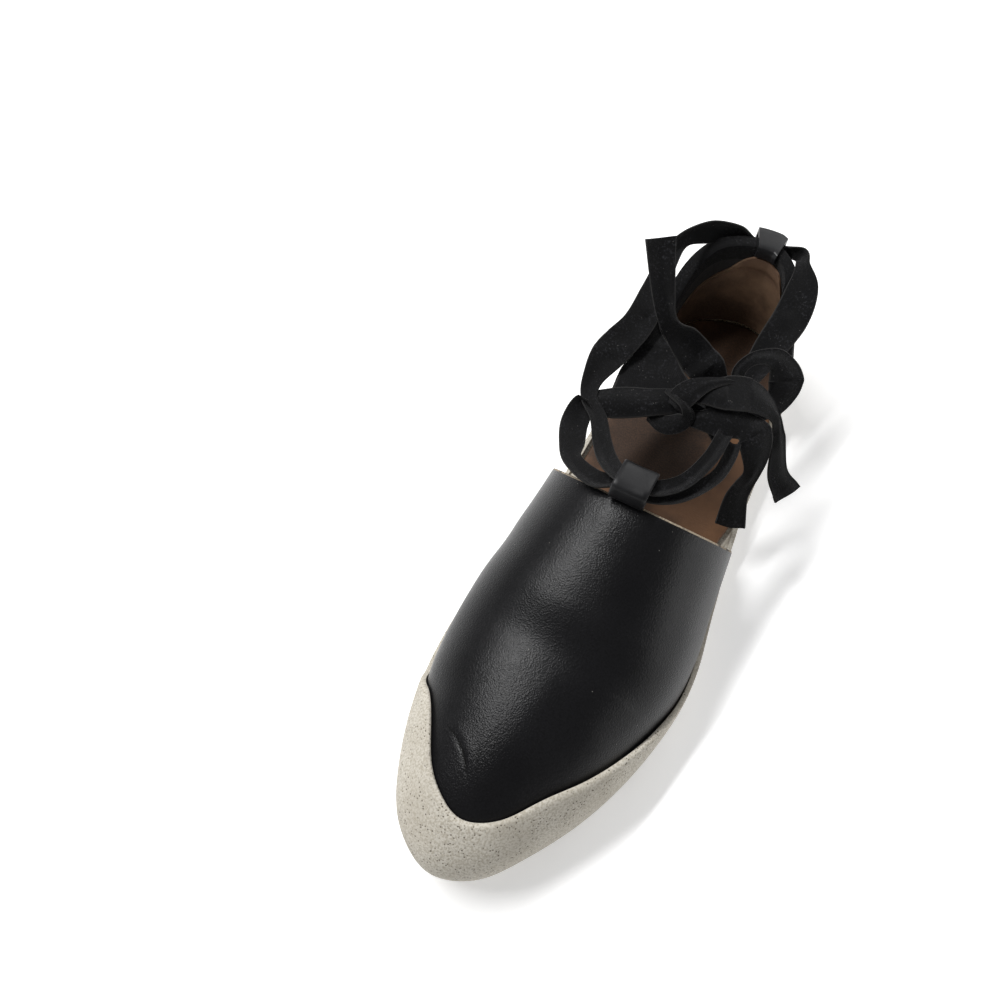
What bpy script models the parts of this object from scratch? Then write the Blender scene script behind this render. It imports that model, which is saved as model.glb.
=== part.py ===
"""Open-waist lace-up flat for a left foot, in Blender: rubber cup sole, leather vamp, woven heel
counter and ribbon ties, each a separate closed solid.

Lengths are in millimetres and become metres when a mesh is made.  A place on the shoe is given as
(across, station, height): across is positive to the outer side of the foot, station is measured
forward from the back of the heel, height is above the ground.  The toe points to -Y, Z is up."""

import bpy
import bmesh
import numpy as np

# ---------------------------------------------------------------- driving dimensions
LENGTH = 256.0            # back of the heel to the tip of the toe
CENTRE_SHIFT = 2.4        # moves the pattern across, so that the whole part is centred
TOE_FAN = 186.0           # station where the toe ribs meet
HEEL_FAN = 30.0           # station where the heel ribs meet
THROAT = 132.5            # station of the vamp's rear edge on the instep
COUNTER_FRONT = 42.0      # rib station of the counter's front edge
GAP = 0.3                 # clearance between pieces that touch
SEAT = 0.5                # the same under the insole, where the sole curves
BAND_GAP = 0.5            # the same between the toe band and the vamp
FLOOR_RINGS = (0.0, 0.5, 0.8)   # shares of a rib where the sole's floor has a ring of corners
BAND_RINGS = (0.0, 0.3, 0.6, 0.9, 1.0)   # the same up the rubber's rim
HEEL_EDGE = [(-4.0, 0.0), (-1.0, 1.6), (0.0, 4.2)]   # rounding under the rim: out, up
VAMP_WALL = 2.0
COUNTER_WALL = 2.6
COUNTER_ROWS = 14
WEAVE_RISE = 0.5          # how far a stitch stands off the counter
PLAIN_FOOT = 3.5          # height of the smooth rows at the counter's foot
PLAIN_TOP = 4.0           # the same below the collar tape
INSOLE_THICK = 2.7
RUBBER_TOP_EDGE = 1.8     # thickness of the rubber near its upper edge
TOP_EDGE_SHARE = 0.55     # how much of that is left at the very edge
BINDING_THICK = 1.1
BINDING_OUTSIDE = 9.0
BINDING_INSIDE = 9.0
HANG_SHARE = 0.62         # the most that a folded strip hangs, as a share of the wall's height
CREST_EASE = 1.2          # chamfer of a folded strip over the crest
RIBBON_WIDTH = 13.0
RIBBON_THICK = 1.0
LOOP_LEATHER = 1.3
RIBBON_SLOT = 2.8         # room for the ribbon between collar and heel loop
HEEL_LOOP_DEPTH = 10.0    # how far the loop hangs outside
HEEL_LOOP_INSIDE = 4.0    # the same inside
HEEL_LOOP_OUTER = (2.945, 2.975)             # turns of the loop's ribs on the outer side
HEEL_LOOP_INNER = (3.0, 2.95, 2.9, 2.85, 2.8)   # the same on the inner side
VAMP_LOOP_CENTRE = (-6.6, 128.0, 61.9)
VAMP_LOOP_OPENING = (10.4, 5.6)   # along the foot, up
VAMP_LOOP_WIDTH = 12.0
VAMP_LOOP_LEAN = 0.2      # radians
LOOP_CORNER = 0.4         # 1 is a round ring, 0 a square one
RIBBON_STEPS = 3          # sections between two points of a route
MM = 0.001
WELD = 0.01 * MM          # corners closer than this are one
SLIVER = 0.005 * MM

# Sole outline, seen from above, anticlockwise from the back of the heel.
OUTLINE = [  # across, station
    (-1, 0), (18, 7), (27, 25), (30, 60), (32, 100), (35.5, 130), (38.8, 155),
    (38.5, 175), (33.5, 198), (25, 219.5), (13.5, 238.5), (3.5, 250.5), (-9, 256), (-20, 253),
    (-30.5, 243.5), (-39, 226), (-44, 207), (-45.5, 185), (-44, 162), (-39.5, 139), (-37, 115),
    (-36.5, 85), (-36.5, 50), (-32.0, 20), (-20.5, 6.0),
]
SOLE_FORM = [  # station, lift of the underside, thickness
    (0, 0.6, 8.6), (8, 0.0, 8.8), (58, 0.0, 8.4), (92, 1.2, 7.4), (126, 0.0, 7.6),
    (190, 0.0, 7.0), (215, 1.2, 7.0), (240, 4.2, 7.0), (256, 7.0, 7.0),
]
SPINE = [  # station, across, crown height of the upper
    (0, -1, 58.5), (132.5, -1, 58.5), (150, -1.5, 54.5), (168, -2.0, 49.5), (186, -2.5, 43.0),
]
SKEW = [  # station on the spine, how far back the foot of that slanting rib lies
    (30, 0), (46, 0), (132.5, 25.5), (160, 12), (186, 0),
]
RIBS = {  # station of the rib's foot, inset, lift, bulge, reach as a share of the rib
    1: [
        (0, 2.6, 20, 0.0, 0.50), (95, 2.6, 20, 0.5, 0.60), (107, 2.4, 20, 8.0, 0.70),
        (140, 2.4, 20, 5.0, 0.62), (175, 2.8, 19, 2.0, 0.58), (205, 3.2, 18, 0.8, 0.58),
        (235, 3.4, 15, 0.8, 0.50), (256, 3.4, 13, 0.8, 0.46),
    ],
    -1: [
        (0, 2.6, 20, 0.0, 0.50), (95, 2.6, 20, 0.5, 0.60), (107, 2.0, 20, 11.5, 0.86),
        (130, 2.2, 20, 12.5, 0.82), (150, 2.4, 20, 10.0, 0.75), (170, 2.4, 19, 7.5, 0.68),
        (197, 2.6, 18, 5.0, 0.62), (215, 3.2, 17, 1.6, 0.56), (235, 3.4, 15, 1.2, 0.50),
        (256, 3.4, 13, 0.8, 0.46),
    ],
}
RUBBER_BAND = {  # station of the rib's foot, height of rubber measured up the upper
    1: [
        (0, 2.4), (95, 2.4), (106, 1.2), (140, 1.4), (160, 4.0), (185, 12.5), (215, 20.0),
        (240, 23.0), (256, 22.5),
    ],
    -1: [
        (0, 2.4), (95, 2.4), (107, 1.2), (140, 2.0), (165, 2.6), (201, 2.8), (207, 10.0),
        (213, 16.5), (222, 20.0), (234, 21.5), (256, 22.5),
    ],
}
INSOLE_INSET = [(0, 6.3), (40.5, 6.3), (47, 3.6), (98, 3.6), (108, 5.8), (225, 7.6), (256, 8.4)]
COUNTER_TOP = [  # station of the rib's foot, height of the wall above the sole
    (0, 47.5), (7, 46.5), (16, 41.0), (26, 32.0), (40.5, 15.0),
]
COUNTER_LEAN = [  # height above the sole, lean inward at the back, more at the sides, drift inward
    (0, 0.6, 0.0, 0.0), (4, 0.5, 0.0, 0.0), (14, 0.5, 0.5, 0.7), (26, 1.1, 1.8, 2.5),
    (38, 2.1, 3.2, 5.0), (50, 3.1, 4.4, 7.0),
]

# Ribbon routes: across, station, height, width as a share, then the direction the width takes
# as (across, station, height).
AROUND = [
    (11, 59, 45, 0.6, (0.9, -0.3, 0.3)), (13, 46, 50, 0.9, (0.9, -0.2, 0.2)),
    (15, 33, 55, 1.0, (1, -0.2, 0.1)), (14, 22, 59.5, 0.85, (1, -0.1, 0.1)),
    (10.5, 13, 61, 0.4, (0.9, 0.1, 0.3)), (8.5, 6, 58.5, 0.5, (0.1, 0.1, 1)),
    (2, 3, 55, 0.4, (0, 0.1, 1)), (-4, 3, 54.5, 0.4, (0, 0.1, 1)),
    (-10, 4.5, 55, 0.4, (0, 0.1, 1)), (-17, 5.5, 58, 0.6, (-0.1, 0.2, 1)),
    (-26, 12, 59.5, 0.7, (-0.4, 0, 0.9)), (-33, 22, 61.5, 0.5, (-0.5, 0.1, 0.85)),
    (-34.5, 34, 61, 0.6, (-0.8, -0.2, 0.5)), (-33, 50, 59, 0.8, (-1, -0.2, 0.2)),
    (-33, 64, 56, 0.9, (-1, 0, 0.1)), (-37, 78, 53, 1.0, (-1, -0.1, 0.1)),
    (-38, 90, 51, 0.6, (-1, 0, 0.1)), (-35.5, 98, 51, 0.45, (-1, 0.2, -0.1)),
    (-29, 105, 53, 0.45, (-0.9, 0.4, -0.1)), (-23, 115, 55.5, 0.5, (-0.7, 0.7, -0.1)),
    (-18, 122, 58.5, 0.5, (-0.5, 0.9, 0)), (-12, 127, 62, 0.45, (-0.2, 1, 0.1)),
    (-6, 128, 63, 0.42, (0, 1, 0.2)), (0, 127, 63, 0.44, (0.2, 1, 0.1)),
    (7, 119, 61, 0.4, (0.7, 0.7, 0)), (11, 107, 60.5, 0.4, (1, 0.3, 0)),
    (12, 95, 59.5, 0.4, (1, 0, 0)),
]
ACROSS = [
    (-7, 87, 56, 0.7, (0.3, 0.9, -0.2)), (-15, 91, 54.5, 0.8, (0.4, 0.9, -0.2)),
    (-27, 95, 51, 0.95, (0.4, 0.9, -0.1)), (-35.5, 99.5, 50, 0.7, (-0.4, 0.9, 0)),
    (-36, 108, 49.5, 0.75, (-0.9, 0.5, 0)), (-33, 117, 51, 0.7, (-0.9, 0.4, 0)),
    (-29, 125, 54, 0.5, (-0.5, 0.9, 0)), (-19, 130, 58, 0.5, (0, 1, 0)),
    (-12, 129, 60.5, 0.44, (0, 1, 0.2)), (-6, 128.5, 60.5, 0.42, (0, 1, 0.2)),
    (0, 128.5, 60.5, 0.44, (0.1, 1, 0.1)), (8, 123, 59.5, 0.4, (0.3, 1, 0)),
    (15, 112, 58.5, 0.35, (0.9, 0.4, 0)), (16.5, 102, 57.5, 0.35, (1, 0, 0)),
    (16, 95, 57, 0.35, (1, -0.2, 0)),
]
INNER = [
    (-17, 83.5, 49, 2.3, (-0.9, 0.4, 0)), (-20, 77, 49.5, 1.9, (-0.9, 0.4, 0)),
    (-23, 70, 50, 1.3, (-0.9, 0.4, 0)), (-28, 63, 53, 0.7, (-0.8, 0.6, 0)),
    (-32, 57, 57.5, 0.5, (-0.8, 0.6, 0)),
]
KNOT_CENTRE = (5.0, 80.0, 56.5)
KNOT_RADII = (9.0, 4.6, 4.0)
BOW = [
    (9, 72.5, 57, 0.35, (-0.9, 0.3, 0.3)), (7, 69.5, 60.5, 0.35, (-1, 0.1, 0)),
    (9, 64.5, 62.5, 0.35, (-0.9, 0, 0.4)), (13, 60, 61.5, 0.45, (-0.5, -0.7, 0.4)),
    (18, 58, 59, 0.75, (0.4, -0.9, 0.2)), (23, 61, 55, 1.0, (0.7, -0.7, 0.1)),
    (23, 67, 50, 0.7, (0.9, -0.4, 0)), (17, 74, 48, 0.6, (0.8, 0.6, 0)),
    (9, 79, 47.5, 0.6, (0.5, 0.9, 0)), (0, 81, 47, 0.6, (0.2, 1, 0)),
    (-15, 81, 46, 0.6, (0, 1, 0)),
]
SIDE_TAIL = [
    (10, 86.5, 52.5, 0.35, (0.1, -1, 0)), (3, 86.5, 52.5, 0.35, (0.1, -1, 0)),
    (-2.5, 86.5, 54, 0.35, (-0.1, -1, 0)), (-4.5, 86.5, 57.5, 0.38, (-0.1, -1, 0)),
    (-2, 85.5, 61, 0.55, (-0.2, -1, 0.1)), (2, 83.5, 62.5, 0.85, (-0.2, -1, 0.1)),
    (7, 81.5, 63, 1.0, (-0.1, -1, 0.1)), (14, 78, 62, 1.0, (-0.3, -0.9, 0.1)),
    (20, 77, 59.5, 0.75, (-0.2, -1, 0.1)), (25, 77, 55, 0.4, (0.2, -1, 0)),
    (28, 77.5, 48.5, 0.4, (0.7, -0.7, -0.3)), (31, 80, 42.5, 0.75, (0.5, -0.7, -0.5)),
    (35, 86, 37, 0.9, (0.6, -0.6, -0.5)), (41, 89, 32.5, 0.9, (0.8, -0.4, -0.3)),
]
FRONT_TAIL = [
    (-14, 86, 51, 0.4, (-0.6, -0.7, 0.3)), (-9, 90, 52.5, 0.4, (-0.5, -0.7, 0.4)),
    (-3, 92, 55.5, 0.4, (-0.3, -0.8, 0.5)), (2, 92, 57, 0.5, (-0.2, -0.8, 0.5)),
    (9, 90, 58.5, 0.85, (0, -0.9, 0.4)), (16, 87, 57.5, 0.8, (0.5, -0.9, 0.1)),
    (21, 88, 56, 1.0, (0.7, -0.7, 0)), (24.5, 92, 51, 0.75, (0.8, -0.6, 0.1)),
    (26, 95, 44, 0.45, (1, -0.2, 0.1)), (25.5, 96, 36, 0.5, (1, 0, 0.1)),
    (25.5, 98, 29, 0.65, (0.9, -0.3, 0.1)), (28, 103, 19, 0.85, (1, -0.2, 0.1)),
]
UPPER_TAIL = [
    (12.5, 91.5, 50.5, 0.6, (0.7, -0.6, 0)), (7, 86, 50, 0.6, (0.8, -0.4, 0)),
    (5, 79, 50, 0.6, (0.9, -0.4, 0)), (2, 74, 54, 0.65, (0.8, -0.6, 0)),
    (-3, 73.5, 60, 1.0, (0.7, -0.8, 0.1)), (-8, 72.5, 62.5, 1.0, (0.7, -0.8, 0.1)),
    (-15, 71.5, 68, 0.8, (0.8, -0.5, 0.1)), (-21, 72, 74, 0.5, (1, -0.2, 0.1)),
    (-26, 68, 81, 0.6, (0.9, -0.4, 0.1)), (-34, 57.5, 92.5, 0.8, (0.7, -0.7, 0.1)),
]


# ---------------------------------------------------------------- reading tables
def follow(table, at, column=1):
    """Monotone cubic through the rows of a table, held level past its ends."""
    xs = np.array([row[0] for row in table], float)
    ys = np.array([row[column] for row in table], float)
    step = np.diff(xs)
    slope = np.diff(ys) / step
    lean = np.zeros(len(xs))
    for k in range(1, len(xs) - 1):
        if slope[k - 1] * slope[k] > 0:
            lean[k] = 2 * slope[k - 1] * slope[k] / (slope[k - 1] + slope[k])
    at = np.clip(at, xs[0], xs[-1])
    k = np.clip(np.searchsorted(xs, at, "right") - 1, 0, len(xs) - 2)
    u = (at - xs[k]) / step[k]
    start = ys[k] * (1 + 2 * u) * (1 - u) ** 2 + step[k] * lean[k] * u * (1 - u) ** 2
    end = ys[k + 1] * u * u * (3 - 2 * u) + step[k] * lean[k + 1] * u * u * (u - 1)
    return start + end


def smooth_through(points, per_span, closed=False):
    """Catmull-Rom curve through points of any dimension."""
    p = np.array(points, float)
    if closed:
        p = np.vstack([p[-1], p, p[0], p[1]])
    else:
        p = np.vstack([2 * p[0] - p[1], p, 2 * p[-1] - p[-2]])
    u = (np.arange(per_span) / per_span)[:, None]
    spans = []
    for a, b, c, d in zip(p[:-3], p[1:-2], p[2:-1], p[3:]):
        bend = (2 * a - 5 * b + 4 * c - d) * u**2 + (3 * b - a - 3 * c + d) * u**3
        spans.append(b + 0.5 * ((c - a) * u + bend))
    if not closed:
        spans.append(p[-2][None])
    return np.vstack(spans)


EDGE = smooth_through(OUTLINE, 16, closed=True)


def sole_lift(station):
    return follow(SOLE_FORM, station, 1)


def sole_top(station):
    return follow(SOLE_FORM, station, 1) + follow(SOLE_FORM, station, 2)


def spine_x(station):
    return follow(SPINE, station, 1)


# ---------------------------------------------------------------- ribs round the foot
def reach_of_edge(centre, direction):
    """Distance from a centre to the sole's outline along a direction."""
    off = EDGE - centre
    along = off @ direction
    aside = off @ np.array([-direction[1], direction[0]])
    nxt = np.roll(aside, -1)
    crossing = np.where((aside <= 0) != (nxt <= 0))[0]
    share = aside[crossing] / (aside[crossing] - nxt[crossing])
    met = along[crossing] + share * (np.roll(along, -1)[crossing] - along[crossing])
    return met.max()


class Rib:
    """A plane from the spine out to the sole's edge, where a section of the shoe is drawn.

    turn runs 0..1 round the toe fan, 1..2 down the side and 2..3 round the heel fan.  Ribs of the
    side slant forward as they climb, so that the throat's edge lies on one of them."""

    def __init__(self, side, turn):
        self.side = side
        self.ridge = TOE_FAN + (HEEL_FAN - TOE_FAN) * np.clip(turn - 1, 0, 1)
        self.skew = follow(SKEW, self.ridge)
        self.root = np.array([spine_x(self.ridge), self.ridge - self.skew])
        angle = np.pi / 2 * (max(1 - turn, 0) - max(turn - 2, 0))
        self.way = np.array([side * np.cos(angle), np.sin(angle)])
        self.span = reach_of_edge(self.root, self.way)
        self.foot = self.root[1] + self.way[1] * self.span
        self.low = sole_top(self.foot) + GAP
        self.crown = follow(SPINE, self.ridge, 2)

    def at_sole(self, out, height):
        """World position this far out from the spine, straight above the sole."""
        x, station = self.root + self.way * out
        return np.array([x + CENTRE_SHIFT, LENGTH / 2 - station, height])

    def place(self, out, height):
        """The same, on the rib's slant."""
        climb = np.clip((height - self.low) / (self.crown - self.low), 0, 1)
        return self.at_sole(out, height) - (0, self.skew * climb, 0)

    def station(self, out):
        return self.root[1] + self.way[1] * out

    def inset(self):
        return follow(RIBS[self.side], self.foot, 1)

    def upper_line(self):
        """The upper's outer surface on this rib, from the sole to the spine, as (out, height)."""
        _, lift, bulge, reach = (follow(RIBS[self.side], self.foot, c) for c in (1, 2, 3, 4))
        fall = (self.crown - follow(SPINE, self.ridge - 1.0, 2)) * self.way[1]
        start = np.array([self.span - self.inset(), self.low])
        first = start + (bulge, lift)
        second = np.array([reach * self.span, self.crown + fall * reach * self.span])
        end = np.array([0.0, self.crown])
        u = np.linspace(0, 1, 61)[:, None]
        return ((1 - u) ** 3 * start + 3 * u * (1 - u) ** 2 * first
                + 3 * u * u * (1 - u) * second + u**3 * end)


def along_line(line, distance):
    """Points at given distances along a line, with the normal that faces out."""
    run = np.concatenate([[0], np.cumsum(np.hypot(*np.diff(line, axis=0).T))])
    slope = np.gradient(line, run, axis=0)
    point = np.stack([np.interp(distance, run, line[:, c]) for c in (0, 1)], -1)
    ahead = np.stack([np.interp(distance, run, slope[:, c]) for c in (0, 1)], -1)
    ahead /= np.linalg.norm(ahead, axis=1)[:, None]
    return point, np.stack([ahead[:, 1], -ahead[:, 0]], -1)


def round_the_foot(toe, side, heel):
    """Ribs in order: tip, outer side, heel, inner side."""
    turns = np.concatenate([np.linspace(0, 1, toe + 1), side, np.linspace(2, 3, heel + 1)])
    outer = [Rib(1, turn) for turn in turns]
    inner = [Rib(-1, turn) for turn in turns[1:-1][::-1]]
    return outer + inner


def turn_of(station):
    """The turn of the side rib whose root is at this station."""
    return 1 + (TOE_FAN - station) / (TOE_FAN - HEEL_FAN)


TOE_RIBS = 14
VAMP_SIDE_RIBS = 9
WAIST_RIBS = 10
HEEL_RIBS = 7
VAMP_ROWS = 11
SIDE_TURNS = np.concatenate([
    np.linspace(1, turn_of(THROAT), VAMP_SIDE_RIBS + 1)[1:],
    np.linspace(turn_of(THROAT), turn_of(COUNTER_FRONT), WAIST_RIBS + 1)[1:],
    [(turn_of(COUNTER_FRONT) + 2) / 2],
])


# ---------------------------------------------------------------- making objects
def clear_scene():
    for thing in list(bpy.data.objects):
        bpy.data.objects.remove(thing, do_unlink=True)


def material(name, colour, roughness, metallic=0.0):
    made = bpy.data.materials.new(name)
    made.use_nodes = True
    shader = made.node_tree.nodes["Principled BSDF"]
    shader.inputs["Base Color"].default_value = (*colour, 1.0)
    shader.inputs["Roughness"].default_value = roughness
    shader.inputs["Metallic"].default_value = metallic
    return made


def build(name, corners, faces, finish, collection, smooth=True):
    """One closed solid from corners in millimetres."""
    mesh = bpy.data.meshes.new(name)
    mesh.from_pydata((np.asarray(corners) * MM).tolist(), [], faces)
    shape = bmesh.new()
    shape.from_mesh(mesh)
    bmesh.ops.remove_doubles(shape, verts=shape.verts, dist=WELD)
    bmesh.ops.dissolve_degenerate(shape, edges=shape.edges, dist=SLIVER)
    bmesh.ops.recalc_face_normals(shape, faces=shape.faces)
    shape.to_mesh(mesh)
    shape.free()
    mesh.materials.append(finish)
    for face in mesh.polygons:
        face.use_smooth = smooth
    made = bpy.data.objects.new(name, mesh)
    collection.objects.link(made)
    return made


def grid_faces(columns, rows, wrap_columns=False, wrap_rows=False):
    """Quads of a grid whose corner (column, row) has index column * rows + row."""
    faces = []
    for i in range(columns if wrap_columns else columns - 1):
        for j in range(rows if wrap_rows else rows - 1):
            k, m = (i + 1) % columns, (j + 1) % rows
            faces.append((i * rows + j, k * rows + j, k * rows + m, i * rows + m))
    return faces


def section_faces(columns, rows):
    """Quads between closed sections, and a face over each end."""
    last = (columns - 1) * rows
    ends = [tuple(range(rows)), tuple(range(last, last + rows))]
    return grid_faces(columns, rows, wrap_rows=True) + ends


def solidify(thing, thickness):
    """Give an open surface its wall, grown inward."""
    wall = thing.modifiers.new("wall", "SOLIDIFY")
    wall.thickness = thickness * MM
    wall.offset = -1.0
    wall.use_even_offset = True
    wall.use_rim = True


# ---------------------------------------------------------------- the pieces
def outsole(collection, finish):
    """One rubber moulding: flat tread, low rim, and a band that climbs the toe."""
    corners = []
    ribs = round_the_foot(TOE_RIBS, SIDE_TURNS, HEEL_RIBS)
    for rib in ribs:
        edge_lift = sole_lift(rib.foot)
        floor = rib.span * np.array(FLOOR_RINGS)
        profile = [(out, sole_lift(rib.station(out))) for out in floor[:2]]
        profile += [(rib.span + out, edge_lift + up) for out, up in HEEL_EDGE]
        band = follow(RUBBER_BAND[rib.side], rib.foot)
        share = np.array(BAND_RINGS)
        point, out = along_line(rib.upper_line(), band * share)
        thick = (rib.inset() - BAND_GAP) * (1 - share) + RUBBER_TOP_EDGE * share
        thick[-1] *= TOP_EDGE_SHARE
        profile += list(point + out * (BAND_GAP + thick)[:, None])
        profile += list((point + out * BAND_GAP)[:0:-1])
        profile.append((point[0, 0] + BAND_GAP, sole_top(rib.foot)))
        profile += [(out, sole_top(rib.station(out))) for out in floor[::-1]]
        corners += [rib.place(*at) for at in profile]
    rows = len(corners) // len(ribs)
    return build("outsole", corners, grid_faces(len(ribs), rows, wrap_columns=True), finish, collection)


def insole(collection, finish):
    corners = []
    ribs = round_the_foot(TOE_RIBS, SIDE_TURNS, HEEL_RIBS)
    for rib in ribs:
        edge = rib.span - follow(INSOLE_INSET, rib.foot)
        across = [*(rib.span * np.array(FLOOR_RINGS)), edge]
        across[2] = min(across[2], edge - 0.6)
        for rise, outs in ((SEAT, across), (SEAT + INSOLE_THICK, across[::-1])):
            corners += [rib.at_sole(out, sole_top(rib.station(out)) + rise) for out in outs]
    return build("insole", corners, grid_faces(len(ribs), 8, wrap_columns=True), finish, collection)


def vamp(collection, finish):
    """One leather piece from the sole over the forefoot, open at the throat."""
    turns = np.concatenate([SIDE_TURNS[:VAMP_SIDE_RIBS][::-1], np.linspace(1, 0, TOE_RIBS + 1)])
    ribs = [Rib(1, turn) for turn in turns] + [Rib(-1, turn) for turn in turns[:-1][::-1]]
    corners = []
    for rib in ribs:
        line = rib.upper_line()
        run = np.hypot(*np.diff(line, axis=0).T).sum()
        point, _ = along_line(line, run * np.linspace(0, 1, VAMP_ROWS))
        point[-1] = line[-1]
        corners += [rib.place(*at) for at in point]
    made = build("vamp", corners, grid_faces(len(ribs), VAMP_ROWS), finish, collection)
    solidify(made, VAMP_WALL)
    return made


def counter_ribs(per_rib):
    sides = np.linspace(turn_of(COUNTER_FRONT), 2, 2 * per_rib + 1)[:-1]
    turns = np.concatenate([sides, np.linspace(2, 3, HEEL_RIBS * per_rib + 1)])
    return [Rib(1, turn) for turn in turns] + [Rib(-1, turn) for turn in turns[:-1][::-1]]


def counter_wall(rib, height, depth):
    """A point of the counter: height above the sole, depth in from its outer face."""
    back, sides, drift = (follow(COUNTER_LEAN, height, column) for column in (1, 2, 3))
    lean = back + sides * abs(rib.way[0]) + drift * rib.way[0]
    out = rib.span - rib.inset() - lean - depth
    return rib.place(out, rib.low + height)


def counter(collection, finish):
    """Woven heel wall, its stitches raised in a checker."""
    corners = []
    ribs = counter_ribs(2)
    for i, rib in enumerate(ribs):
        top = follow(COUNTER_TOP, rib.foot)
        heights = np.linspace(0, top, COUNTER_ROWS)
        for j, height in enumerate(heights):
            plain = height < PLAIN_FOOT or height > top - BINDING_OUTSIDE - PLAIN_TOP
            rise = 0.0 if plain or (i + j) % 2 else WEAVE_RISE
            corners.append(counter_wall(rib, height, -rise))
        corners += [counter_wall(rib, height, COUNTER_WALL) for height in heights[::-1]]
    return build("counter", corners, section_faces(len(ribs), 2 * COUNTER_ROWS), finish, collection)


def folded_over(name, ribs, outside, inside, clear, thick, collection, finish):
    """A strip folded over the counter's upper edge.

    outside and inside are the depths it hangs to; clear is its gap from the wall (out, top, in)."""
    corners = []
    for rib in ribs:
        top = follow(COUNTER_TOP, rib.foot)
        out_face, in_face = -clear[0] - thick, COUNTER_WALL + clear[2] + thick
        out_heights = top - min(outside, HANG_SHARE * top) * np.array([1.0, 0.5, 0.0])
        in_heights = top - min(inside, HANG_SHARE * top) * np.array([0.0, 0.5, 1.0])
        crest = top + clear[1]
        section = [(height, out_face) for height in out_heights]
        section += [(crest + thick, out_face + CREST_EASE), (crest + thick, in_face - CREST_EASE)]
        section += [(height, in_face) for height in in_heights]
        section += [(height, in_face - thick) for height in (*in_heights[:0:-1], crest)]
        section += [(height, out_face + thick) for height in (crest, *out_heights[1::-1])]
        corners += [counter_wall(rib, height, depth) for height, depth in section]
    return build(name, corners, section_faces(len(ribs), len(section)), finish, collection)


def heel_loop(collection, finish):
    """Leather over the collar at the back, holding the ribbon against it."""
    ribs = [Rib(1, turn) for turn in HEEL_LOOP_OUTER] + [Rib(-1, turn) for turn in HEEL_LOOP_INNER]
    seat = GAP + 0.1 + BINDING_THICK
    clear = (seat + RIBBON_SLOT, seat + GAP, seat + GAP)
    return folded_over("heel_loop", ribs, HEEL_LOOP_DEPTH, HEEL_LOOP_INSIDE, clear, LOOP_LEATHER,
                       collection, finish)


def vamp_loop(collection, finish):
    """A closed leather strap bent into a rounded ring that the ribbon runs through sideways."""
    steps = 16
    angle = np.arange(steps) * 2 * np.pi / steps
    ring = np.stack([np.cos(angle), np.sin(angle)], -1)
    ring = np.sign(ring) * np.abs(ring) ** LOOP_CORNER
    middle, station, height = VAMP_LOOP_CENTRE
    lean = np.array([(np.cos(VAMP_LOOP_LEAN), -np.sin(VAMP_LOOP_LEAN)),
                     (np.sin(VAMP_LOOP_LEAN), np.cos(VAMP_LOOP_LEAN))])
    corners = []
    for across, grow in ((-1, 0), (-1, LOOP_LEATHER), (1, LOOP_LEATHER), (1, 0)):
        for back, up in ring * (np.array(VAMP_LOOP_OPENING) / 2 + grow) @ lean.T:
            corners.append((middle + across * VAMP_LOOP_WIDTH / 2 + CENTRE_SHIFT,
                            LENGTH / 2 - station - back, height + up))
    faces = grid_faces(4, steps, wrap_columns=True, wrap_rows=True)
    return build("vamp_loop", corners, faces, finish, collection)


def ribbon(name, route, collection, finish):
    """A flat tape along a route, square across its width direction."""
    table = np.array([(*row[:4], *row[4]) for row in route], float)
    rows = smooth_through(table, RIBBON_STEPS)
    centre = np.stack([rows[:, 0] + CENTRE_SHIFT, LENGTH / 2 - rows[:, 1], rows[:, 2]], -1)
    across = rows[:, 4:7] * (1, -1, 1)
    ahead = np.gradient(centre, axis=0)
    ahead /= np.linalg.norm(ahead, axis=1)[:, None]
    across -= ahead * (across * ahead).sum(1)[:, None]
    across /= np.linalg.norm(across, axis=1)[:, None]
    face = np.cross(ahead, across)
    half_wide = across * (RIBBON_WIDTH / 2 * rows[:, 3])[:, None]
    half_thick = face * RIBBON_THICK / 2
    ring = [centre + half_wide + half_thick, centre - half_wide + half_thick,
            centre - half_wide - half_thick, centre + half_wide - half_thick]
    corners = np.stack(ring, 1).reshape(-1, 3)
    return build(name, corners, section_faces(len(centre), 4), finish, collection, smooth=False)


def knot(name, collection, finish):
    """The knot's rounded lump."""
    columns, rows = 20, 11
    around = np.arange(columns) * 2 * np.pi / columns
    down = np.linspace(0, np.pi, rows)
    corners = []
    for angle in around:
        for fall in down:
            way = np.array([np.cos(angle) * np.sin(fall), np.sin(angle) * np.sin(fall), np.cos(fall)])
            x, station, height = np.array(KNOT_CENTRE) + way * KNOT_RADII
            corners.append((x + CENTRE_SHIFT, LENGTH / 2 - station, height))
    return build(name, corners, grid_faces(columns, rows, wrap_columns=True), finish, collection)


def join(first, second, cutters):
    """Fuse two solids into the first."""
    fuse = first.modifiers.new("fuse_" + second.name, "BOOLEAN")
    fuse.operation = "UNION"
    fuse.solver = "EXACT"
    fuse.object = second
    second.hide_render = True
    second.display_type = "WIRE"
    for owner in list(second.users_collection):
        owner.objects.unlink(second)
    cutters.objects.link(second)


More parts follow.
